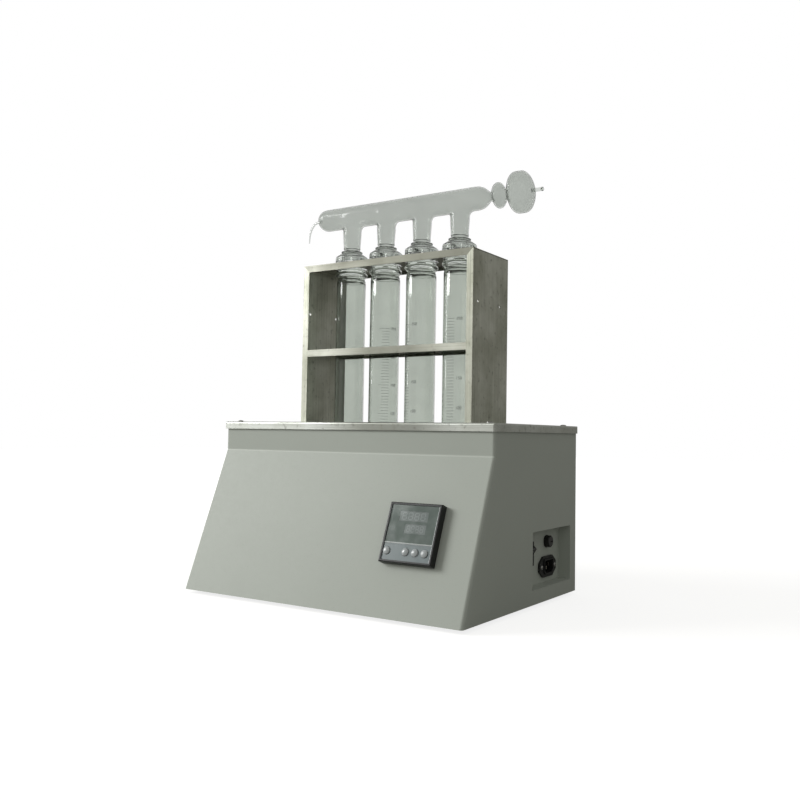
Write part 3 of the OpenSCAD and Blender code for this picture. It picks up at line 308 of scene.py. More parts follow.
# Each sheet gets its own pair of tones, which paints how the light falls on it: the rack's top is
# darker as painted shade and the top plate lighter as painted light.
side_steel = stainless("stained_stainless_upright", ALONG_Z,
                       srgb(213, 215, 202), srgb(186, 188, 172))
top_steel_painted_shade = stainless("stainless_top_painted_shade", ALONG_X,
                      srgb(176, 177, 166), srgb(152, 152, 140), dark_reflection=(0.05, 0.17, 0.6))
shelf_steel_painted_reflection = stainless("stainless_shelf_painted_reflection", ALONG_X,
                        srgb(212, 214, 203), srgb(190, 191, 178), dark_reflection=(0.01, 0.10, 0.65))
plate_steel_painted_light = stainless("stainless_plate_painted_light", ALONG_X,
                        srgb(230, 234, 228), srgb(208, 211, 203), dark_reflection=(0.06, 0.11, 0.62))
dress(side_steel, "rack_left_side", "rack_right_side")
dress(top_steel_painted_shade, "rack_top")
dress(shelf_steel_painted_reflection, "rack_shelf")
dress(plate_steel_painted_light, "top_plate")
print("sheets of stainless steel: 5")

# %% Plated sheet and screws
plated = Finish("zinc_plated_sheet", roughness=0.42, metallic=0.9)
spangle = plated.noise(70, detail=1)
plated.two_tone(spangle, 0.4, 0.6, srgb(150, 152, 150), srgb(172, 174, 172))
plated.uneven_gloss(spangle, 0.35, 0.65, 0.36, 0.5)
dress(plated.material, "base_pan", "insulation_tray", "tray_pillars")

screw_metal = Finish("bright_screw", roughness=0.25, metallic=1.0)
worn = screw_metal.noise(800, detail=2)
screw_metal.two_tone(worn, 0.4, 0.65, srgb(198, 198, 194), srgb(160, 160, 156))
screw_metal.uneven_gloss(worn, 0.3, 0.7, 0.18, 0.36)
dress(screw_metal.material,
      "foot_screws", "pan_screws", "back_screws", "top_screws", "inlet_screws")
print("metals ready")

# %% [markdown]
# ## Moulded black parts, rubber and the controller's front
#
# Moulded plastic is spark-eroded in its tool, which leaves a fine matt grain; a rocker and a cap
# are polished. Rubber is darker and duller. The display window is smoked plastic in front of
# unlit displays, so it is a grey, glossy surface, and the key panel is a silvery film.

# %% Plastics and rubber
def moulded(name, colour, roughness, grain=1600, depth=0.00003, level=0.5):
    """Solid-coloured plastic: grain sets how many grains a metre, depth how deep they are."""
    plastic = Finish(name, roughness=roughness)
    darker = tuple(c * 0.82 for c in colour[:3]) + (1.0,)
    plastic.two_tone(plastic.noise(25, detail=3), 0.35, 0.65, colour, darker)
    plastic.uneven_gloss(plastic.noise(90, detail=2), 0.3, 0.7, roughness - 0.05, roughness + 0.06)
    plastic.set(Specular_IOR_Level=level)
    plastic.bump(plastic.noise(grain, detail=2), distance=depth, strength=0.6)
    return plastic.material


POLISHED = 0.00001
grained_black = moulded("grained_black_plastic", srgb(26, 27, 27), 0.5)
frame_black = moulded("controller_frame_plastic", srgb(22, 25, 24), 0.42, grain=2200)
gloss_black = moulded("gloss_black_plastic", srgb(20, 20, 21), 0.22, grain=300, depth=POLISHED)
rubber = moulded("foot_rubber", srgb(24, 24, 24), 0.72, grain=900)
relay_plastic = moulded("relay_plastic", srgb(214, 212, 204), 0.45)
board_green = moulded("circuit_board", srgb(34, 84, 52), 0.35, grain=500)
silver_film = moulded("silver_film", srgb(100, 115, 116), 0.33, grain=1500, level=0.7)
key_silver = moulded("key_silver", srgb(176, 182, 182), 0.26, grain=900, depth=POLISHED, level=0.8)
window_smoke = moulded("smoked_window", srgb(108, 120, 114), 0.16, grain=120, depth=0.00002,
                       level=0.6)
dress(grained_black, "controller_case", "controller_clamps", "switch_body", "power_inlet",
      "fuse_holder", "fuse_nut", "fuse_carrier")
dress(frame_black, "controller_bezel")
dress(gloss_black, "switch_rocker", "fuse_cap")
dress(rubber, "feet")
dress(relay_plastic, "solid_state_relay", "terminal_block")
dress(board_green, "display_board")
dress(silver_film, "controller_keypanel")
dress(key_silver, "key_set", "key_shift", "key_down", "key_up")
dress(window_smoke, "controller_lens")
print("plastics ready")

# %% [markdown]
# ## What the housing hides
#
# The block is sawn and milled aluminium, its heaters are steel sheaths tinted by heat, and it
# sits in pressed mineral fibre. They show only through the slots, the wells and from below, but a
# part that is taken apart shows them all.

# %% Hidden metals and insulation
milled = Finish("milled_aluminium", roughness=0.34, metallic=1.0)
cutter = milled.noise(1.0, detail=2, at=milled.stretched(40, 1400, 1400))
milled.two_tone(cutter, 0.35, 0.65, srgb(188, 190, 192), srgb(160, 162, 164))
milled.bump(cutter, distance=0.00003, strength=0.5)
dress(milled.material, "heating_block")

anodised = Finish("dark_anodised_aluminium", roughness=0.45, metallic=0.6)
anodised.two_tone(anodised.noise(50), 0.35, 0.65, srgb(50, 51, 53), srgb(66, 67, 70))
dress(anodised.material, "heat_sink")

tinted = Finish("heat_tinted_steel", roughness=0.35, metallic=1.0)
band = tinted.noise(1.0, detail=2, at=tinted.stretched(30, 4, 4))
tinted.two_tone(band, 0.35, 0.65, srgb(176, 160, 128), srgb(112, 104, 116))
dress(tinted.material, "heater_rods", "temperature_probe")

fibre = Finish("pressed_mineral_fibre", roughness=0.95)
strands = fibre.noise(1.0, detail=5, rough=0.7, at=fibre.stretched(500, 500, 2500))
fibre.two_tone(strands, 0.35, 0.65, srgb(224, 220, 204), srgb(196, 190, 172))
fibre.bump(strands, distance=0.0006, strength=0.7)
dress(fibre.material, "insulation_shell", "insulation_lid")

nickel = Finish("nickel_plated_pins", roughness=0.28, metallic=1.0)
nickel.two_tone(nickel.noise(400), 0.4, 0.6, srgb(200, 196, 184), srgb(170, 166, 154))
dress(nickel.material, "inlet_pins", "fuse_cartridge")
print("hidden finishes ready")

# %% [markdown]
# ## Glass
#
# Borosilicate glass is clear, but this ware is grey-green and a little etched by acid. A
# Principled shader with full transmission bends the light; its colour is what one wall lets
# through, and light that crosses a tube meets two walls. A faint smear of roughness stands for
# the etching. The tubes' mouths stand inside the manifold's skirts, so they are left clear.

# %% Glass finish
CLEAR_GLASS = (0.94, 0.95, 0.94, 1)
CLEAR_FADE = 0.002


def glassware(name, colour, rough, ior, clear_above=None):
    """Transmitting glass; colour is the share of light that one wall passes.

    Above the height clear_above, if given, the glass is clear: a mouth that sits inside another
    glass would else look twice as dark.
    """
    glass = Finish(name, roughness=rough, colour=colour)
    haze = glass.noise(26, detail=4)
    glass.uneven_gloss(haze, 0.35, 0.7, rough, rough + 0.05)
    shade = tuple(c * 0.96 for c in colour[:3]) + (1.0,)
    tone = glass.mixed(glass.between(haze, 0.4, 0.6), colour, shade)
    if clear_above:
        lift = glass.between(glass.axes()["Z"], clear_above - CLEAR_FADE, clear_above + CLEAR_FADE)
        tone = glass.mixed(lift, tone, CLEAR_GLASS)
    glass.link(tone, "Base Color")
    glass.set(IOR=ior, Transmission_Weight=1.0)
    return glass.material


tube_glass = glassware("tube_glass", (0.655, 0.685, 0.645, 1), 0.015, 1.45, clear_above=0.454)
manifold_glass = glassware("manifold_glass", (0.65, 0.67, 0.645, 1), 0.10, 1.2)
ink = moulded("fired_graduation_ink", srgb(92, 97, 95), 0.6)
print("glass ready")

# %% [markdown]
# ## Surfaces of revolution and prisms
#
# A tube is a profile turned round an axis. If the profile is (r, z) and the turn is a, each point
# is (x0 + r cos a, y0 + r sin a, z). A prism joins two matching rings of points. Working on whole
# arrays gives all the points at once; faces join each point to its neighbours on the grid.

# %% Mesh builders
def add_piece(name, points, faces, material, body, smooth=True):
    """Makes a mesh object from an array of points and a list of faces, and ties it to a body."""
    mesh = bpy.data.meshes.new(name)
    mesh.from_pydata(np.asarray(points, float).tolist(), [], [list(map(int, f)) for f in faces])
    mesh.validate()
    mesh.polygons.foreach_set("use_smooth", [smooth] * len(mesh.polygons))
    mesh.materials.append(material)
    piece = bpy.data.objects.new(name, mesh)
    bpy.context.collection.objects.link(piece)
    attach(piece, body)
    return piece


def joined(parts):
    """One mesh from several: each part's faces count on from the points before it."""
    shift = np.cumsum([0] + [len(points) for points, _ in parts[:-1]])
    faces = [[i + s for i in face] for (_, group), s in zip(parts, shift) for face in group]
    return np.vstack([points for points, _ in parts]), faces


def grid_faces(rows, cols, close_rows=False, close_cols=False):
    """Four-sided faces between neighbours of a rows x cols grid of points, numbered row by row."""
    r = np.arange(rows if close_rows else rows - 1)
    c = np.arange(cols if close_cols else cols - 1)
    r, c = (a.ravel() for a in np.meshgrid(r, c, indexing="ij"))
    r1, c1 = (r + 1) % rows, (c + 1) % cols
    return np.stack([r * cols + c, r * cols + c1, r1 * cols + c1, r1 * cols + c], 1)


def prism(first, second):
    """A closed prism: two matching rings of points, a face over each and one along each side."""
    n = len(first)
    i = np.arange(n)
    sides = np.stack([i, (i + 1) % n, (i + 1) % n + n, i + n], 1).tolist()
    return np.vstack([first, second]), [list(range(n))[::-1], list(range(n, 2 * n))] + sides


def revolved(profile, centre, segments=96):
    """Points of a closed profile (r, z) turned round an upright axis, with its ends on the axis.

    Point = (x0 + r cos a, y0 + r sin a, z); the end points, where r is 0, are single poles.
    """
    profile = np.asarray(profile, float)
    a = np.linspace(0, 2 * np.pi, segments, endpoint=False)
    ring = profile[1:-1]
    x = centre[0] + ring[:, :1] * np.cos(a)
    y = centre[1] + ring[:, :1] * np.sin(a)
    z = np.broadcast_to(ring[:, 1:], x.shape)
    points = np.stack([x, y, z], -1).reshape(-1, 3)
    faces = grid_faces(len(ring), segments, close_cols=True).tolist()
    first, last = len(points), len(points) + 1
    points = np.vstack([points, [[*centre, profile[0, 1]], [*centre, profile[-1, 1]]]])
    step = np.arange(segments)
    after = (step + 1) % segments
    end = (len(ring) - 1) * segments
    faces += np.stack([np.full(segments, first), after, step], 1).tolist()
    faces += np.stack([np.full(segments, last), end + step, end + after], 1).tolist()
    return points, faces


def arc(centre, radius, start, stop, count):
    """Part of an ellipse: centre + radius cos a, radius sin a; a in degrees from the first axis."""
    a = np.radians(np.linspace(start, stop, count))
    return np.stack([centre[0] + radius[0] * np.cos(a), centre[1] + radius[1] * np.sin(a)], 1)


print("builders ready")

# %% [markdown]
# ## Four digestion tubes
#
# A tube is blown from straight stock: a round bottom, a long wall, then near the mouth a groove,
# a bead and a collar that rests on the rack. The outline goes up the outside and down the inside
# with the same glass thickness, and every corner is a small arc, because fire-polished glass has
# no sharp edge.

# %% Tubes
def middle_of(name):
    """Middle of a solid's box at rest."""
    low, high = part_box(name)
    return (low + high) / 2


TUBE_X = [middle_of(f"tube_{n}").x for n in (1, 2, 3, 4)]
ROW_X, ROW_Y = sum(TUBE_X) / 4, middle_of("tube_1").y
TUBE_R, BORE_R = 0.021, 0.0198
WELL_Z, RACK_Z, MOUTH_Z = 0.180, 0.455, 0.469
BEAD_TOP, BEAD_Z, GROOVE_Z = 0.4485, 0.4415, 0.4355


def tube_profile():
    """Outline (r, z) of one tube: outside from the bottom pole to the mouth, then inside down."""
    outside = [
        # round bottom, straight wall
        arc((0, WELL_Z), (TUBE_R, TUBE_R), -90, 0, 25),
        np.stack([np.full(12, TUBE_R), np.linspace(WELL_Z + 0.01, GROOVE_Z - 0.004, 12)], 1),
        # shoulder, groove, bead and the neck above it
        arc((0.0195, GROOVE_Z - 0.003), (0.0015, 0.003), 15, 90, 6),
        arc((0.0225, GROOVE_Z + 0.003), (0.003, 0.003), 235, 125, 7),
        arc((0.020, BEAD_Z + 0.0035), (0.0035, 0.0035), -75, 75, 12),
        arc((0.0235, BEAD_TOP + 0.0032), (0.0025, 0.0025), 235, 180, 5),
        # collar on the rack: underside, rim, top, then the mouth's rounded lip
        np.array([[TUBE_R, RACK_Z - 0.0002]]),
        arc((0.0248, RACK_Z + 0.0012), (0.0012, 0.0012), -90, 0, 6),
        arc((0.0248, RACK_Z + 0.0028), (0.0012, 0.0012), 0, 90, 6),
        np.array([[0.0222, RACK_Z + 0.004], [TUBE_R, RACK_Z + 0.0052], [TUBE_R, MOUTH_Z - 0.0005]]),
        arc((0.0204, MOUTH_Z - 0.0006), (0.0006, 0.0006), 0, 90, 5),
    ]
    inside = [
        # the lip's inner side, the collar's bore, the bead and groove from inside
        arc((0.0203, MOUTH_Z - 0.0005), (0.0005, 0.0005), 100, 180, 4),
        np.array([[BORE_R, RACK_Z + 0.004], [BORE_R, BEAD_TOP + 0.002]]),
        arc((0.0190, BEAD_Z + 0.0035), (0.0018, 0.0034), 70, -70, 9),
        arc((0.0207, GROOVE_Z + 0.003), (0.0025, 0.0030), 130, 230, 7),
        # straight bore and round bottom
        np.stack([np.full(12, BORE_R), np.linspace(GROOVE_Z - 0.006, WELL_Z + 0.01, 12)], 1),
        arc((0, WELL_Z), (BORE_R, BORE_R), 0, -90, 25),
    ]
    outline = np.vstack(outside + inside)
    outline[[0, -1], 0] = 0
    return outline


for number, x in enumerate(TUBE_X, 1):
    points, faces = revolved(tube_profile(), (x, ROW_Y))
    piece = add_piece(f"digestion_tube_{number}", points, faces, tube_glass, "tubes")
    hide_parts(f"tube_{number}")
print(len(TUBE_X), "tubes of", len(faces), "faces")

# %% [markdown]
# ## Graduations
#
# The tubes carry a fired scale: a line every 5 ml, a longer one every 50 ml, and the number beside
# it. 50 ml fill 40 mm of this bore. Each line is a thin band wrapped round the glass, so a point is
# known by how far round and how high it is; the numbers are strokes in the same two measures.
# Every tube was set down at its own turn, so each scale is given one.

# %% Scale lines and numbers
INK_T = 0.00006
LINE_H = 0.00035
ML_RISE = 0.0396 / 50
LINE_SWEEP, LONG_SWEEP, NUMBER_GAP = math.radians(29), math.radians(40), math.radians(9)
DIGIT_W, PEN, DIGIT_PITCH = 0.0016, 0.00022, 1.75
FULL_ML = 250
STROKES = {
    "0": [(0, 0), (1, 0), (1, 2), (0, 2), (0, 0)],
    "1": [(0.5, 0), (0.5, 2)],
    "2": [(0, 2), (1, 2), (1, 1), (0, 1), (0, 0), (1, 0)],
    "5": [(1, 2), (0, 2), (0, 1), (1, 1), (1, 0), (0, 0)],
}


def wrapped_box(x, turn0, turn1, z0, z1, steps):
    """A thin closed band on the tube, from turn0 to turn1, between two heights and two radii.

    Point = (x + r cos a, y0 + r sin a, z), with r and z taken round the band's small rectangle.
    """
    a = np.linspace(turn0, turn1, steps)[:, None]
    r = np.array([TUBE_R - INK_T / 2, TUBE_R + INK_T, TUBE_R + INK_T, TUBE_R - INK_T / 2])
    z = np.broadcast_to([z0, z0, z1, z1], (steps, 4))
    points = np.stack([x + r * np.cos(a), ROW_Y + r * np.sin(a), z], -1).reshape(-1, 3)
    faces = grid_faces(steps, 4, close_cols=True)[:, ::-1].tolist()
    end = (steps - 1) * 4
    return points, faces + [[0, 1, 2, 3], [end + 3, end + 2, end + 1, end]]


def digit_bands(x, digit, left, z):
    """One digit's strokes, each a short band from its low corner to its high one."""
    path = np.array(STROKES[digit], float) * DIGIT_W
    bands = []
    for start, stop in zip(path[:-1], path[1:]):
        (u0, v0), (u1, v1) = np.minimum(start, stop) - PEN, np.maximum(start, stop) + PEN
        bands.append(wrapped_box(x, left + u0 / TUBE_R, left + u1 / TUBE_R, z + v0, z + v1, 3))
    return bands


def graduations(number, x, turned, top):
    """One tube's scale; turned is the angle in degrees from the camera's side to the lines' end."""
    right = math.atan2(EYE.y - ROW_Y, EYE.x - x) + math.radians(turned)
    parts = []
    for ml in range(60, FULL_ML + 5, 5):
        z = top - (FULL_ML - ml) * ML_RISE
        sweep = LONG_SWEEP if ml % 50 == 0 else LINE_SWEEP
        parts.append(wrapped_box(x, right - sweep, right, z - LINE_H / 2, z + LINE_H / 2, 9))
    for ml in range(100, FULL_ML + 50, 50):
        z = top - (FULL_ML - ml) * ML_RISE - DIGIT_W
        for order, digit in enumerate(str(ml)):
            left = right + NUMBER_GAP + order * DIGIT_PITCH * DIGIT_W / TUBE_R
            parts += digit_bands(x, digit, left, z)
    points, faces = joined(parts)
    return add_piece(f"graduation_{number}", points, faces, ink, "tubes", smooth=False)


TURNED = [235, 19.7, -43.7, -15.1]
TOP_MARK = [0.365, 0.362, 0.365, 0.369]
scales = [graduations(n, x, t, z) for n, (x, t, z) in enumerate(zip(TUBE_X, TURNED, TOP_MARK), 1)]
print("scales with", len(scales[0].data.polygons), "faces each")

# %% [markdown]
# ## Glass manifold
#
# The manifold is flame-worked: branches are melted into a long tube and the joints flow. Joining
# meshes leaves a hard seam there. A distance field doesn't: each part is given by its signed
# distance, and the parts are blended with a smooth minimum. The surface is then read off a grid,
# and a second layer one wall's thickness inside it makes the glass.

# %% Outlines of the manifold
AXIS_Z = 0.5316
GLASS_T = 0.0012
SKIRT_Z = 0.463
NOZZLE_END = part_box("manifold")[1].x


def corners_cut(points, rounds=3):
    """A smooth line from a few corners: each leg keeps its middle half, again and again."""
    points = np.asarray(points, float)
    for _ in range(rounds):
        a, b = points[:-1], points[1:]
        legs = np.stack([0.75 * a + 0.25 * b, 0.25 * a + 0.75 * b], 1).reshape(-1, 2)
        points = np.vstack([points[:1], legs, points[-1:]])
    return points


# Along the axis from the row's middle: closed end, long tube, cone, neck, small bulb, large bulb.
header_outline = np.vstack([
    arc((-0.1360, 0), (0.0160, 0.0158), 180, 90, 14),
    [[0.1170, 0.0159], [0.1210, 0.0157], [0.1250, 0.0149], [0.1290, 0.0132]],
    [[0.1325, 0.0108], [0.1355, 0.0082], [0.1378, 0.0065], [0.1400, 0.0062]],
    arc((0.1514, 0), (0.0082, 0.0172), 158, 32, 18),
    corners_cut([
        [0.1648, 0.0080], [0.1672, 0.0088], [0.1710, 0.0185], [0.1752, 0.0272],
        [0.1835, 0.02725], [0.1905, 0.0270], [0.1962, 0.0180], [0.1988, 0.0100], [0.1990, 0],
    ]),
])
# Up a branch, by height: skirt, its shoulder, the ring above it, and the widening stem.
branch_outline = np.vstack([
    [[0.4400, 0.0235], [0.4695, 0.0235], [0.4712, 0.0229], [0.4760, 0.0158]],
    arc((0.4788, 0), (0.0026, 0.0158), 168, 12, 9),
    [[0.4830, 0.0122], [0.4880, 0.0122], [0.4960, 0.0127], [0.5060, 0.0133], [0.5270, 0.0133]],
])
print("outlines:", len(header_outline), "and", len(branch_outline), "points")

# %% Distance field of the manifold
BLEND = 0.008
BRANCH_REACH = 0.04
OUTSIDE = 1.0


def profile_distance(length, radius, outline):
    """Signed distance to a turned outline (length, radius), negative inside.

    The nearest of the outline's segments gives the distance, and comparing the radius with the
    outline's own radius at that length gives the sign.
    """
    best = np.full(length.shape, np.inf)
    for (l0, r0), (l1, r1) in zip(outline[:-1], outline[1:]):
        dl, dr = l1 - l0, r1 - r0
        t = np.clip(((length - l0) * dl + (radius - r0) * dr) / (dl * dl + dr * dr), 0, 1)
        best = np.minimum(best, np.hypot(length - l0 - t * dl, radius - r0 - t * dr))
    edge = np.interp(length, outline[:, 0], outline[:, 1], left=-1, right=-1)
    return np.where(radius < edge, -best, best)


def smooth_min(a, b, k):
    """The smaller of two fields, rounded where they are nearly equal.

    min(a, b) - k h^2 / 4, with h = 1 - |a - b| / k, or 0 where that is negative.
    """
    h = np.maximum(0, 1 - np.abs(a - b) / k)
    return np.minimum(a, b) - k * h * h / 4


def manifold_field(p):
    """Signed distance of the manifold's outside at points p (..., 3)."""
    x, y, z = p[..., 0], p[..., 1] - ROW_Y, p[..., 2]
    field = profile_distance(x - ROW_X, np.hypot(y, z - AXIS_Z), header_outline)
    for x0 in TUBE_X:
        near = np.abs(x - x0) < BRANCH_REACH
        branch = np.full(x.shape, OUTSIDE)
        branch[near] = profile_distance(z[near], np.hypot(x - x0, y)[near], branch_outline)
        field = smooth_min(field, branch, BLEND)
    return field


on_axis = np.array([[ROW_X, ROW_Y, AXIS_Z]])
print("field on the axis:", round(float(manifold_field(on_axis)[0]), 4))

# %% [markdown]
# Reading a surface off a grid: every cell whose corners differ in sign gets one point, at the mean
# of where its edges cross zero, and every grid edge that changes sign joins the four cells round
# it.

# %% Surface from a field
def net_points(value, inside, low, step):
    """A point for each cell that the surface passes through, and each cell's number or -1."""
    corners = [(i, j, k) for i in (0, 1) for j in (0, 1) for k in (0, 1)]
    size = [n - 1 for n in value.shape]

    def corner(array, c):
        return array[c[0]:c[0] + size[0], c[1]:c[1] + size[1], c[2]:c[2] + size[2]]

    count = sum(corner(inside, c).astype(int) for c in corners)
    active = (count > 0) & (count < 8)
    index = np.full(active.shape, -1)
    index[active] = np.arange(active.sum())
    cell = np.argwhere(active)
    total, weight = np.zeros((len(cell), 3)), np.zeros(len(cell))
    for c in corners:
        for axis in range(3):
            if c[axis]:
                continue
            d = list(c)
            d[axis] = 1
            va, vb = corner(value, c)[active], corner(value, d)[active]
            crossed = (va < 0) != (vb < 0)
            t = np.where(crossed, va / np.where(crossed, va - vb, 1), 0)
            crossing = np.array(c, float) + t[:, None] * np.eye(3)[axis]
            total += np.where(crossed[:, None], crossing, 0)
            weight += crossed
    return np.array(low) + (cell + total / weight[:, None]) * step, index


def net_faces(inside, index):
    """Four cells round each grid edge that changes sign, ordered so that the face points out."""
    faces = []
    for axis in range(3):
        u, v = [(1, 2), (2, 0), (0, 1)][axis]
        a = np.take(inside, range(inside.shape[axis] - 1), axis)
        b = np.take(inside, range(1, inside.shape[axis]), axis)
        edges = np.argwhere(a != b)
        within = (edges[:, [u, v]] > 0) & (edges[:, [u, v]] < [index.shape[u], index.shape[v]])
        edges = edges[within.all(1)]
        ring = []
        for du, dv in ((-1, -1), (0, -1), (0, 0), (-1, 0)):
            e = edges.copy()
            e[:, u] += du
            e[:, v] += dv
            ring.append(index[tuple(e.T)])
        quad = np.stack(ring, 1)
        leaving = a[tuple(edges.T)]
        faces.append(np.where(leaving[:, None], quad, quad[:, ::-1]))
    return np.vstack(faces)


def surface_net(field, low, high, step):
    """Points and faces where the field is zero inside the box from low to high."""
    axes = [np.arange(l, h + step, step) for l, h in zip(low, high)]
    value = field(np.stack(np.meshgrid(*axes, indexing="ij"), -1))
    points, index = net_points(value, value < 0, low, step)
    return points, net_faces(value < 0, index)


net_step = 0.0014
low = (ROW_X - 0.156, ROW_Y - 0.030, SKIRT_Z)
high = (ROW_X + 0.202, ROW_Y + 0.030, 0.5630)
points, faces = surface_net(manifold_field, low, high, net_step)
print("net:", len(points), "points,", len(faces), "faces")

# %% [markdown]
# The net's points lie near the surface, not on it. They slide along the field's slope until they
# do, which smooths the glass. The net is cut off at the skirts' open ends, so a second layer inside
# it and a strip along each open edge close the wall.

# %% Settled surface with a wall
LONGEST_SLIDE = 0.0004


def slope_of(field, points, delta=2e-5):
    """The field's slope along each axis, from its values a little way to either side."""
    steps = np.eye(3) * delta
    return np.stack([(field(points + d) - field(points - d)) / (2 * delta) for d in steps], -1)


def settled(points, field, rounds=3):
    """Moves points down the slope onto the zero surface: p - value * slope / |slope|^2."""
    for _ in range(rounds):
        slope = slope_of(field, points)
        steepness = np.maximum((slope ** 2).sum(1, keepdims=True), 0.25)
        slide = field(points)[:, None] * slope / steepness
        points = points - np.clip(slide, -LONGEST_SLIDE, LONGEST_SLIDE)
    return points


def walled(points, faces, field, thickness):
    """Gives an open surface a wall: a second layer at p - thickness * slope / |slope|.

    A strip joins the layers along each open edge, which is one where no neighbouring face runs
    along it the other way.
    """
    slope = slope_of(field, points)
    inner = points - thickness * slope / np.linalg.norm(slope, axis=1, keepdims=True)
    count = len(points)
    start, stop = faces.ravel(), np.roll(faces, -1, axis=1).ravel()
    opened = ~np.isin(start * count + stop, stop * count + start)
    a, b = start[opened], stop[opened]
    strip = np.stack([b, a, a + count, b + count], 1)
    return np.vstack([points, inner]), np.vstack([faces, faces[:, ::-1] + count, strip])


points = settled(points, manifold_field)
points, faces = walled(points, faces, manifold_field, GLASS_T)
manifold_piece = add_piece("glass_manifold", points, faces, manifold_glass, "manifold")
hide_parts("manifold")
print("manifold:", len(points), "points,", len(faces), "faces")

# %% [markdown]
# ## Nozzle and drip tube
#
# The nozzle is a bored rod turned round the manifold's own axis, so its outline is turned upright
# first and then laid down: (x, y, z) becomes (z, y, -x). At the manifold's closed end a capillary
# leaves level, bends down and hangs. It is a circle carried along a path: at each point of the path
# two directions square to it span the circle.

# %% Nozzle
NOZZLE_TIP = 0.2150
nozzle_outline = [
    [0, 0.1986], [0.0026, 0.1988], [0.0025, 0.2010], [0.0025, 0.2100], [0.0025, 0.2145],
    [0.0023, NOZZLE_TIP], [0.0021, 0.2149], [0.0019, 0.2144], [0.0017, 0.2122], [0, 0.2116],
]
points, faces = revolved(nozzle_outline, (0, 0), 32)
along = points[:, 2] + NOZZLE_END - NOZZLE_TIP
points = np.stack([along, points[:, 1] + ROW_Y, AXIS_Z - points[:, 0]], 1)
add_piece("exhaust_nozzle_tip", points, faces, manifold_glass, "manifold")
print("nozzle of", len(points), "points")

# %% Drip tube
DRIP_X, DRIP_Z = -0.156, 0.5315
BEND_LEFT, BEND_DOWN, BEND_STEPS = 0.0165, 0.023, 18


def swept(path, radius, sides=20):
    """A closed round rod: path point + r (cos a n + sin a b), capped by its two end rings.

    n is the row direction Y, because the path lies in the X-Z plane, and b completes the pair.
    """
    along = np.gradient(path, axis=0)
    along /= np.linalg.norm(along, axis=1, keepdims=True)
    n = np.tile([0.0, 1.0, 0.0], (len(path), 1))
    b = np.cross(along, n)
    a = np.linspace(0, 2 * np.pi, sides, endpoint=False)[None, :, None]
    r = radius[:, None, None]
    points = path[:, None] + r * (np.cos(a) * n[:, None] + np.sin(a) * b[:, None])
    faces = grid_faces(len(path), sides, close_cols=True).tolist()
    end = (len(path) - 1) * sides
    faces.append(list(range(sides))[::-1])
    faces.append([end + i for i in range(sides)])
    return points.reshape(-1, 3), faces


bend = arc((DRIP_X, DRIP_Z - BEND_DOWN), (BEND_LEFT, BEND_DOWN), 90, 180, BEND_STEPS)[1:]
level = [[DRIP_X + 0.006, DRIP_Z], [DRIP_X + 0.003, DRIP_Z], [DRIP_X, DRIP_Z]]
hanging = [[-0.1727, 0.505], [-0.1730, 0.5015]]
flat_path = np.vstack([level, bend, hanging])
drip_path = np.stack([flat_path[:, 0] + ROW_X, np.full(len(flat_path), ROW_Y), flat_path[:, 1]], 1)
last = len(drip_path) - 1
radius = np.interp(np.arange(last + 1), [0, 3, 14, last], [0.0018, 0.0017, 0.0014, 0.0007])
points, faces = swept(drip_path, radius)
add_piece("drip_tube", points, [f[::-1] for f in faces], manifold_glass, "manifold")
print("drip tube of", len(points), "points")

# %% [markdown]
# ## Displays and trim of the controller
#
# The two displays are dark until the instrument is switched on: a pale pane fills each opening of
# the window, and the segments show only as a slightly different grey. A bright ridge parts the
# window from the key panel, and a thin one edges both on the right. All are laid in the slope's own
# frame: a direction across, one up the slope, and one outward.

# %% Frame on the slope
SLOPE_RUN, SLOPE_RISE = 0.070, 0.185
slope_len = math.hypot(SLOPE_RUN, SLOPE_RISE)
SLOPE_TOP = Vector((0, BEND_Y, BEND_Z))
SLOPE_UP = Vector((0, SLOPE_RUN / slope_len, SLOPE_RISE / slope_len))
SLOPE_OUT = Vector((0, -SLOPE_RISE / slope_len, SLOPE_RUN / slope_len))
ACROSS = Vector((1, 0, 0))
# The controller's left edge, its top edge down the slope, and its window's height over the paint.
CTRL_X, CTRL_S, FACE_N = 0.092, 0.063, 0.0090


def slope_point(x, s, n):
    """Point x across, s down the slope from the bend and n out from the paint."""
    return Vector((x, 0, 0)) + SLOPE_TOP - SLOPE_UP * s + SLOPE_OUT * n


def front_point(u, v):
    """A point just under the window's face, u across and v down from the controller's corner."""
    return slope_point(CTRL_X + u, CTRL_S + v, FACE_N - 0.0001)


def plate(outline, origin, across, up, out, height):
    """A thin plate: outline points (u, v) become origin + u across + v up, at 0 and at height."""
    outline = np.asarray(outline, float)
    base = np.array(origin) + outline[:, :1] * np.array(across) + outline[:, 1:] * np.array(up)
    return prism(base, base + np.array(out) * height)


def half_round(start, stop, side, out, width, height, count=9):
    """A bar with a half-round top: sections w/2 cos a across and h sin a outward, a up to 180."""
    a = np.linspace(0, np.pi, count)[:, None]
    section = width / 2 * np.cos(a) * np.array(side) + height * np.sin(a) * np.array(out)
    return prism(np.array(start) + section, np.array(stop) + section)


print("slope of", round(slope_len * 1000, 1), "mm")

# %% Unlit displays
OPENINGS = {"upper": (0.0160, 0.0555, 0.0100, 0.0223), "lower": (0.0265, 0.0555, 0.0256, 0.0370)}
PANE_GAP, PANE_T, OPENING_DEPTH = 0.0001, 0.0013, 0.0014
DIGIT_SHARE, BAR_SHARE = 0.62, 0.92


def segment(u, v, length, thick, upright):
    """One bar of a seven-segment digit: a long hexagon about (u, v)."""
    h, t = length / 2, thick / 2
    bar = np.array([[-h, 0], [-h + t, -t], [h - t, -t], [h, 0], [h - t, t], [-h + t, t]])
    bar = bar[:, ::-1] * [-1, 1] if upright else bar
    return bar + [u, v]


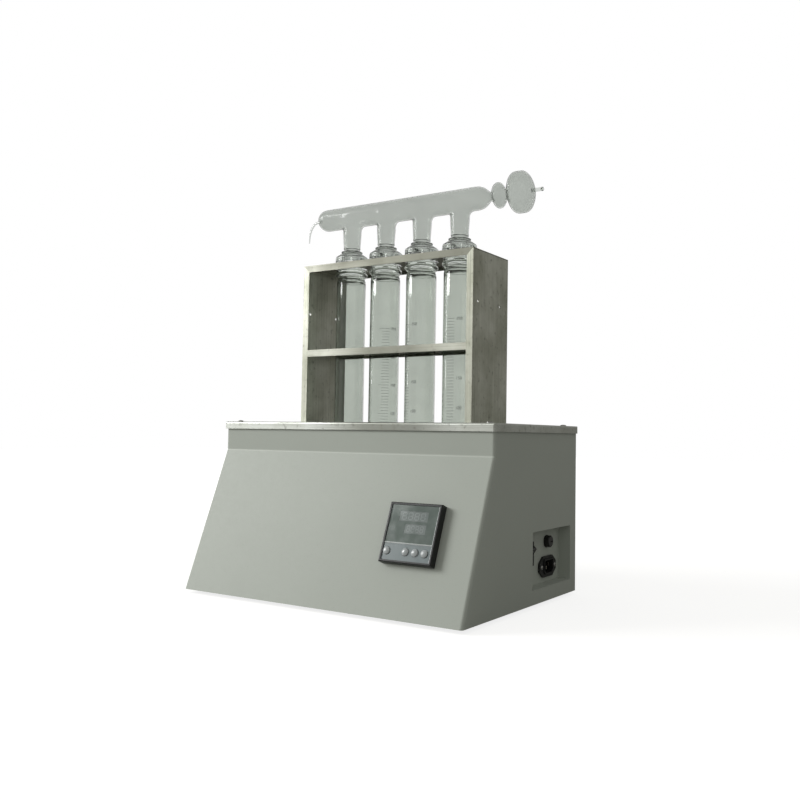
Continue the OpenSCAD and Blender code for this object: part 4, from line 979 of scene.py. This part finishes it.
def digits(left, top, width, height, count, thick):
    """Outlines of count unlit digits in a row: three level bars and four upright ones each."""
    pitch = width / count
    w = pitch * DIGIT_SHARE
    bars = []
    for i in range(count):
        u0 = left + i * pitch + (pitch - w) / 2
        for v in (top, top - height / 2, top - height):
            bars.append(segment(u0 + w / 2, v, w * BAR_SHARE, thick, False))
        for u in (u0, u0 + w):
            for v in (top - height / 4, top - 3 * height / 4):
                bars.append(segment(u, v, height / 2 * BAR_SHARE, thick, True))
    return bars


pane_grey = moulded("display_pane", srgb(124, 134, 131), 0.2, grain=160, depth=POLISHED, level=0.6)
segment_grey = moulded("unlit_segments", srgb(130, 140, 137), 0.3, grain=200, depth=POLISHED)
opening_floor = slope_point(CTRL_X, CTRL_S, FACE_N - OPENING_DEPTH)
for name, (u0, u1, v0, v1) in OPENINGS.items():
    left, right, bottom, top = u0 + PANE_GAP, u1 - PANE_GAP, PANE_GAP - v1, -v0 - PANE_GAP
    outline = [[left, bottom], [right, bottom], [right, top], [left, top]]
    points, faces = plate(outline, opening_floor, ACROSS, SLOPE_UP, SLOPE_OUT, PANE_T)
    add_piece(f"display_pane_{name}", points, faces, pane_grey, "base",
              smooth=False)
bars = digits(0.0185, -0.0122, 0.0345, 0.0080, 4, 0.0011)
bars += digits(0.0285, -0.0277, 0.0245, 0.0070, 4, 0.0009)
pane_face = slope_point(CTRL_X, CTRL_S, FACE_N - 0.00012)
points, faces = joined([plate(b, pane_face, ACROSS, SLOPE_UP, SLOPE_OUT, 0.00006) for b in bars])
add_piece("display_segments", points, faces, segment_grey, "base", smooth=False)
print("display segments:", len(bars))

# %% Bright trim
FRONT_IN, FRONT_LOW = 0.0028, 0.0692
RIDGE_V, EDGE_U = 0.0486, FRONT_LOW - 0.0006
trim_silver = moulded("trim_silver", srgb(186, 192, 190), 0.28, grain=900, depth=POLISHED,
                      level=0.8)
ridge = half_round(front_point(FRONT_IN, RIDGE_V), front_point(FRONT_LOW, RIDGE_V),
                   SLOPE_UP, SLOPE_OUT, 0.0018, 0.0005)
edging = half_round(front_point(EDGE_U, FRONT_IN), front_point(EDGE_U, FRONT_LOW),
                    ACROSS, SLOPE_OUT, 0.0010, 0.0004)
points, faces = joined([ridge, edging])
add_piece("controller_trim", points, faces, trim_silver, "base", smooth=False)
print("trim of", len(faces), "faces")

# %% [markdown]
# ## Marks on the rocker
#
# The rocker carries the usual on and off marks, a bar and a ring, printed on its two halves. Each
# half leans its own way and the whole tilts on its pivot, so a mark needs a frame of its own: the
# half's middle, a direction across, one up the face and one outward.

# %% Rocker marks
PIVOT = Vector((0.194, 0.04025, 0.064))
TILT = math.radians(16)
MARK_T, MARK_AT, PIVOT_TO_FACE = 0.00012, 0.0048, 0.0060
BAR_HALF_W, BAR_HALF_H = 0.0004, 0.0022
RING_IN, RING_OUT, RING_STEPS = 0.0016, 0.0022, 32
mark_white = moulded("mark_white", srgb(214, 214, 210), 0.5)


def rocker_face(upper):
    """Frame on one half of the rocker's face: its middle, across, up the face and outward."""
    lean = TILT if upper else -TILT
    v = MARK_AT if upper else -MARK_AT
    n = PIVOT_TO_FACE + MARK_AT * math.tan(TILT)
    tilted = Matrix.Rotation(TILT, 3, "Y")
    up = tilted @ Vector((math.sin(lean), 0, math.cos(lean)))
    out = tilted @ Vector((math.cos(lean), 0, -math.sin(lean)))
    return PIVOT + tilted @ Vector((n, 0, v)), Vector((0, 1, 0)), up, out


w, h = BAR_HALF_W, BAR_HALF_H
points, faces = plate([[-w, -h], [w, -h], [w, h], [-w, h]], *rocker_face(False), MARK_T)
add_piece("rocker_mark_on", points, faces, mark_white, "rocker", smooth=False)

# The ring is a small rectangle (r, height) carried round: middle + r cos a across + r sin a up.
middle, across, up, out = (np.array(v) for v in rocker_face(True))
a = np.linspace(0, 2 * np.pi, RING_STEPS, endpoint=False)[:, None]
r = np.array([RING_IN, RING_OUT, RING_OUT, RING_IN])
lift = np.broadcast_to([0, 0, MARK_T, MARK_T], (RING_STEPS, 4))[..., None]
points = middle + (r * np.cos(a))[..., None] * across + (r * np.sin(a))[..., None] * up + lift * out
faces = grid_faces(RING_STEPS, 4, True, True)[:, ::-1]
add_piece("rocker_mark_off", points.reshape(-1, 3), faces, mark_white, "rocker",
          smooth=False)
print("rocker marks ready")

# %% [markdown]
# ## Studio
#
# The object stands on a plain floor that runs out to white. The floor is lit like everything else,
# so it keeps the shadow, and a little glow that only the camera and the glass see lifts it to
# white. Under the base there is no glow, or it would shine up through the air slots.

# %% Floor
FLOOR_HALF = 8
UNDER_X, UNDER_Y, UNDER_FADE = 0.19, 0.13, 0.03
corners = [(-FLOOR_HALF, -FLOOR_HALF, 0), (FLOOR_HALF, -FLOOR_HALF, 0),
           (FLOOR_HALF, FLOOR_HALF, 0), (-FLOOR_HALF, FLOOR_HALF, 0)]
floor_mesh = bpy.data.meshes.new("floor")
floor_mesh.from_pydata(corners, [], [(0, 1, 2, 3)])
floor = bpy.data.objects.new("floor", floor_mesh)
bpy.context.collection.objects.link(floor)


def light_path(tree, *names):
    """1 for rays of the named kinds, 0 for the rest."""
    path = tree.nodes.new("ShaderNodeLightPath")
    total = path.outputs[names[0]]
    for name in names[1:]:
        total = maths_of(tree, "MAXIMUM", total, path.outputs[name])
    return total


floor_paint = Finish("floor_white", roughness=0.9, colour=(0.38, 0.376, 0.36, 1))
floor_paint.set(Specular_IOR_Level=0.0, Emission_Color=(1, 1, 1, 1))
reach = floor_paint.tree.nodes.new("ShaderNodeVectorMath")
reach.operation = "LENGTH"
floor_paint.tree.links.new(floor_paint.coords, reach.inputs[0])
glow = range_of(floor_paint.tree, reach.outputs["Value"], 0.4, 2.2, 0.82, 1.0, eased=True)
on_floor = floor_paint.axes()
past_x = floor_paint.maths("SUBTRACT", floor_paint.maths("ABSOLUTE", on_floor["X"]), UNDER_X)
past_y = floor_paint.maths("SUBTRACT", floor_paint.maths("ABSOLUTE", on_floor["Y"]), UNDER_Y)
outside = floor_paint.between(floor_paint.maths("MAXIMUM", past_x, past_y), -UNDER_FADE, 0.0)
glow = floor_paint.maths("MULTIPLY", glow, outside)
seen = light_path(floor_paint.tree, "Is Camera Ray", "Is Transmission Ray")
floor_paint.link(floor_paint.maths("MULTIPLY", seen, glow), "Emission Strength")
floor_mesh.materials.append(floor_paint.material)
print("floor of", 2 * FLOOR_HALF, "m")

# %% [markdown]
# The room lights the object from all round, a little more from the front than from behind, and a
# little warmer than the lamps. Camera rays and rays through glass see it as white, and metal sees
# a plain grey room, so that its reflections stay calm.

# %% Room light
FRONT_LIGHT, BACK_LIGHT, MIRRORED_LIGHT = 0.44, 0.27, 0.30
WARM, WHITE = (1.0, 0.99, 0.95, 1), (1, 1, 1, 1)
world = bpy.data.worlds.new("studio")
world.use_nodes = True
bpy.context.scene.world = world
room = world.node_tree
sky = room.nodes["Background"]
facing = axes_of(room, room.nodes.new("ShaderNodeTexCoord").outputs["Generated"])["Y"]
soft = range_of(room, facing, -1, 1, FRONT_LIGHT, BACK_LIGHT, eased=True)
mirrored = light_path(room, "Is Glossy Ray")
soft = maths_of(room, "MULTIPLY", soft, maths_of(room, "SUBTRACT", 1.0, mirrored))
light = maths_of(room, "ADD", soft, maths_of(room, "MULTIPLY", mirrored, MIRRORED_LIGHT))
seen = light_path(room, "Is Camera Ray", "Is Transmission Ray")
room.links.new(maths_of(room, "MAXIMUM", light, seen), sky.inputs["Strength"])
room.links.new(mix_of(room, seen, WARM, WHITE), sky.inputs["Color"])
print("room light", FRONT_LIGHT, "in front and", BACK_LIGHT, "behind")

# %% [markdown]
# One large soft lamp from the front left lights the slope, and a weak, tall strip beside it draws
# the upright lights on the tubes.

# %% Lamps
def lamp(name, place, aim, size, power):
    """A rectangular lamp at a place, turned to its aim; size in metres, power in watts."""
    data = bpy.data.lights.new(name, "AREA")
    data.shape = "RECTANGLE"
    data.size, data.size_y = size
    data.energy = power
    light = bpy.data.objects.new(name, data)
    bpy.context.collection.objects.link(light)
    light.location = place
    light.rotation_euler = (Vector(aim) - Vector(place)).to_track_quat("-Z", "Y").to_euler()


lamp("key", (-3.3, -2.2, 1.95), (0, 0, 0.2), (1.8, 1.8), 127)
lamp("left_strip", (-3.8, -1.15, 0.95), (0, 0, 0.35), (0.22, 0.9), 4)
print("studio ready")
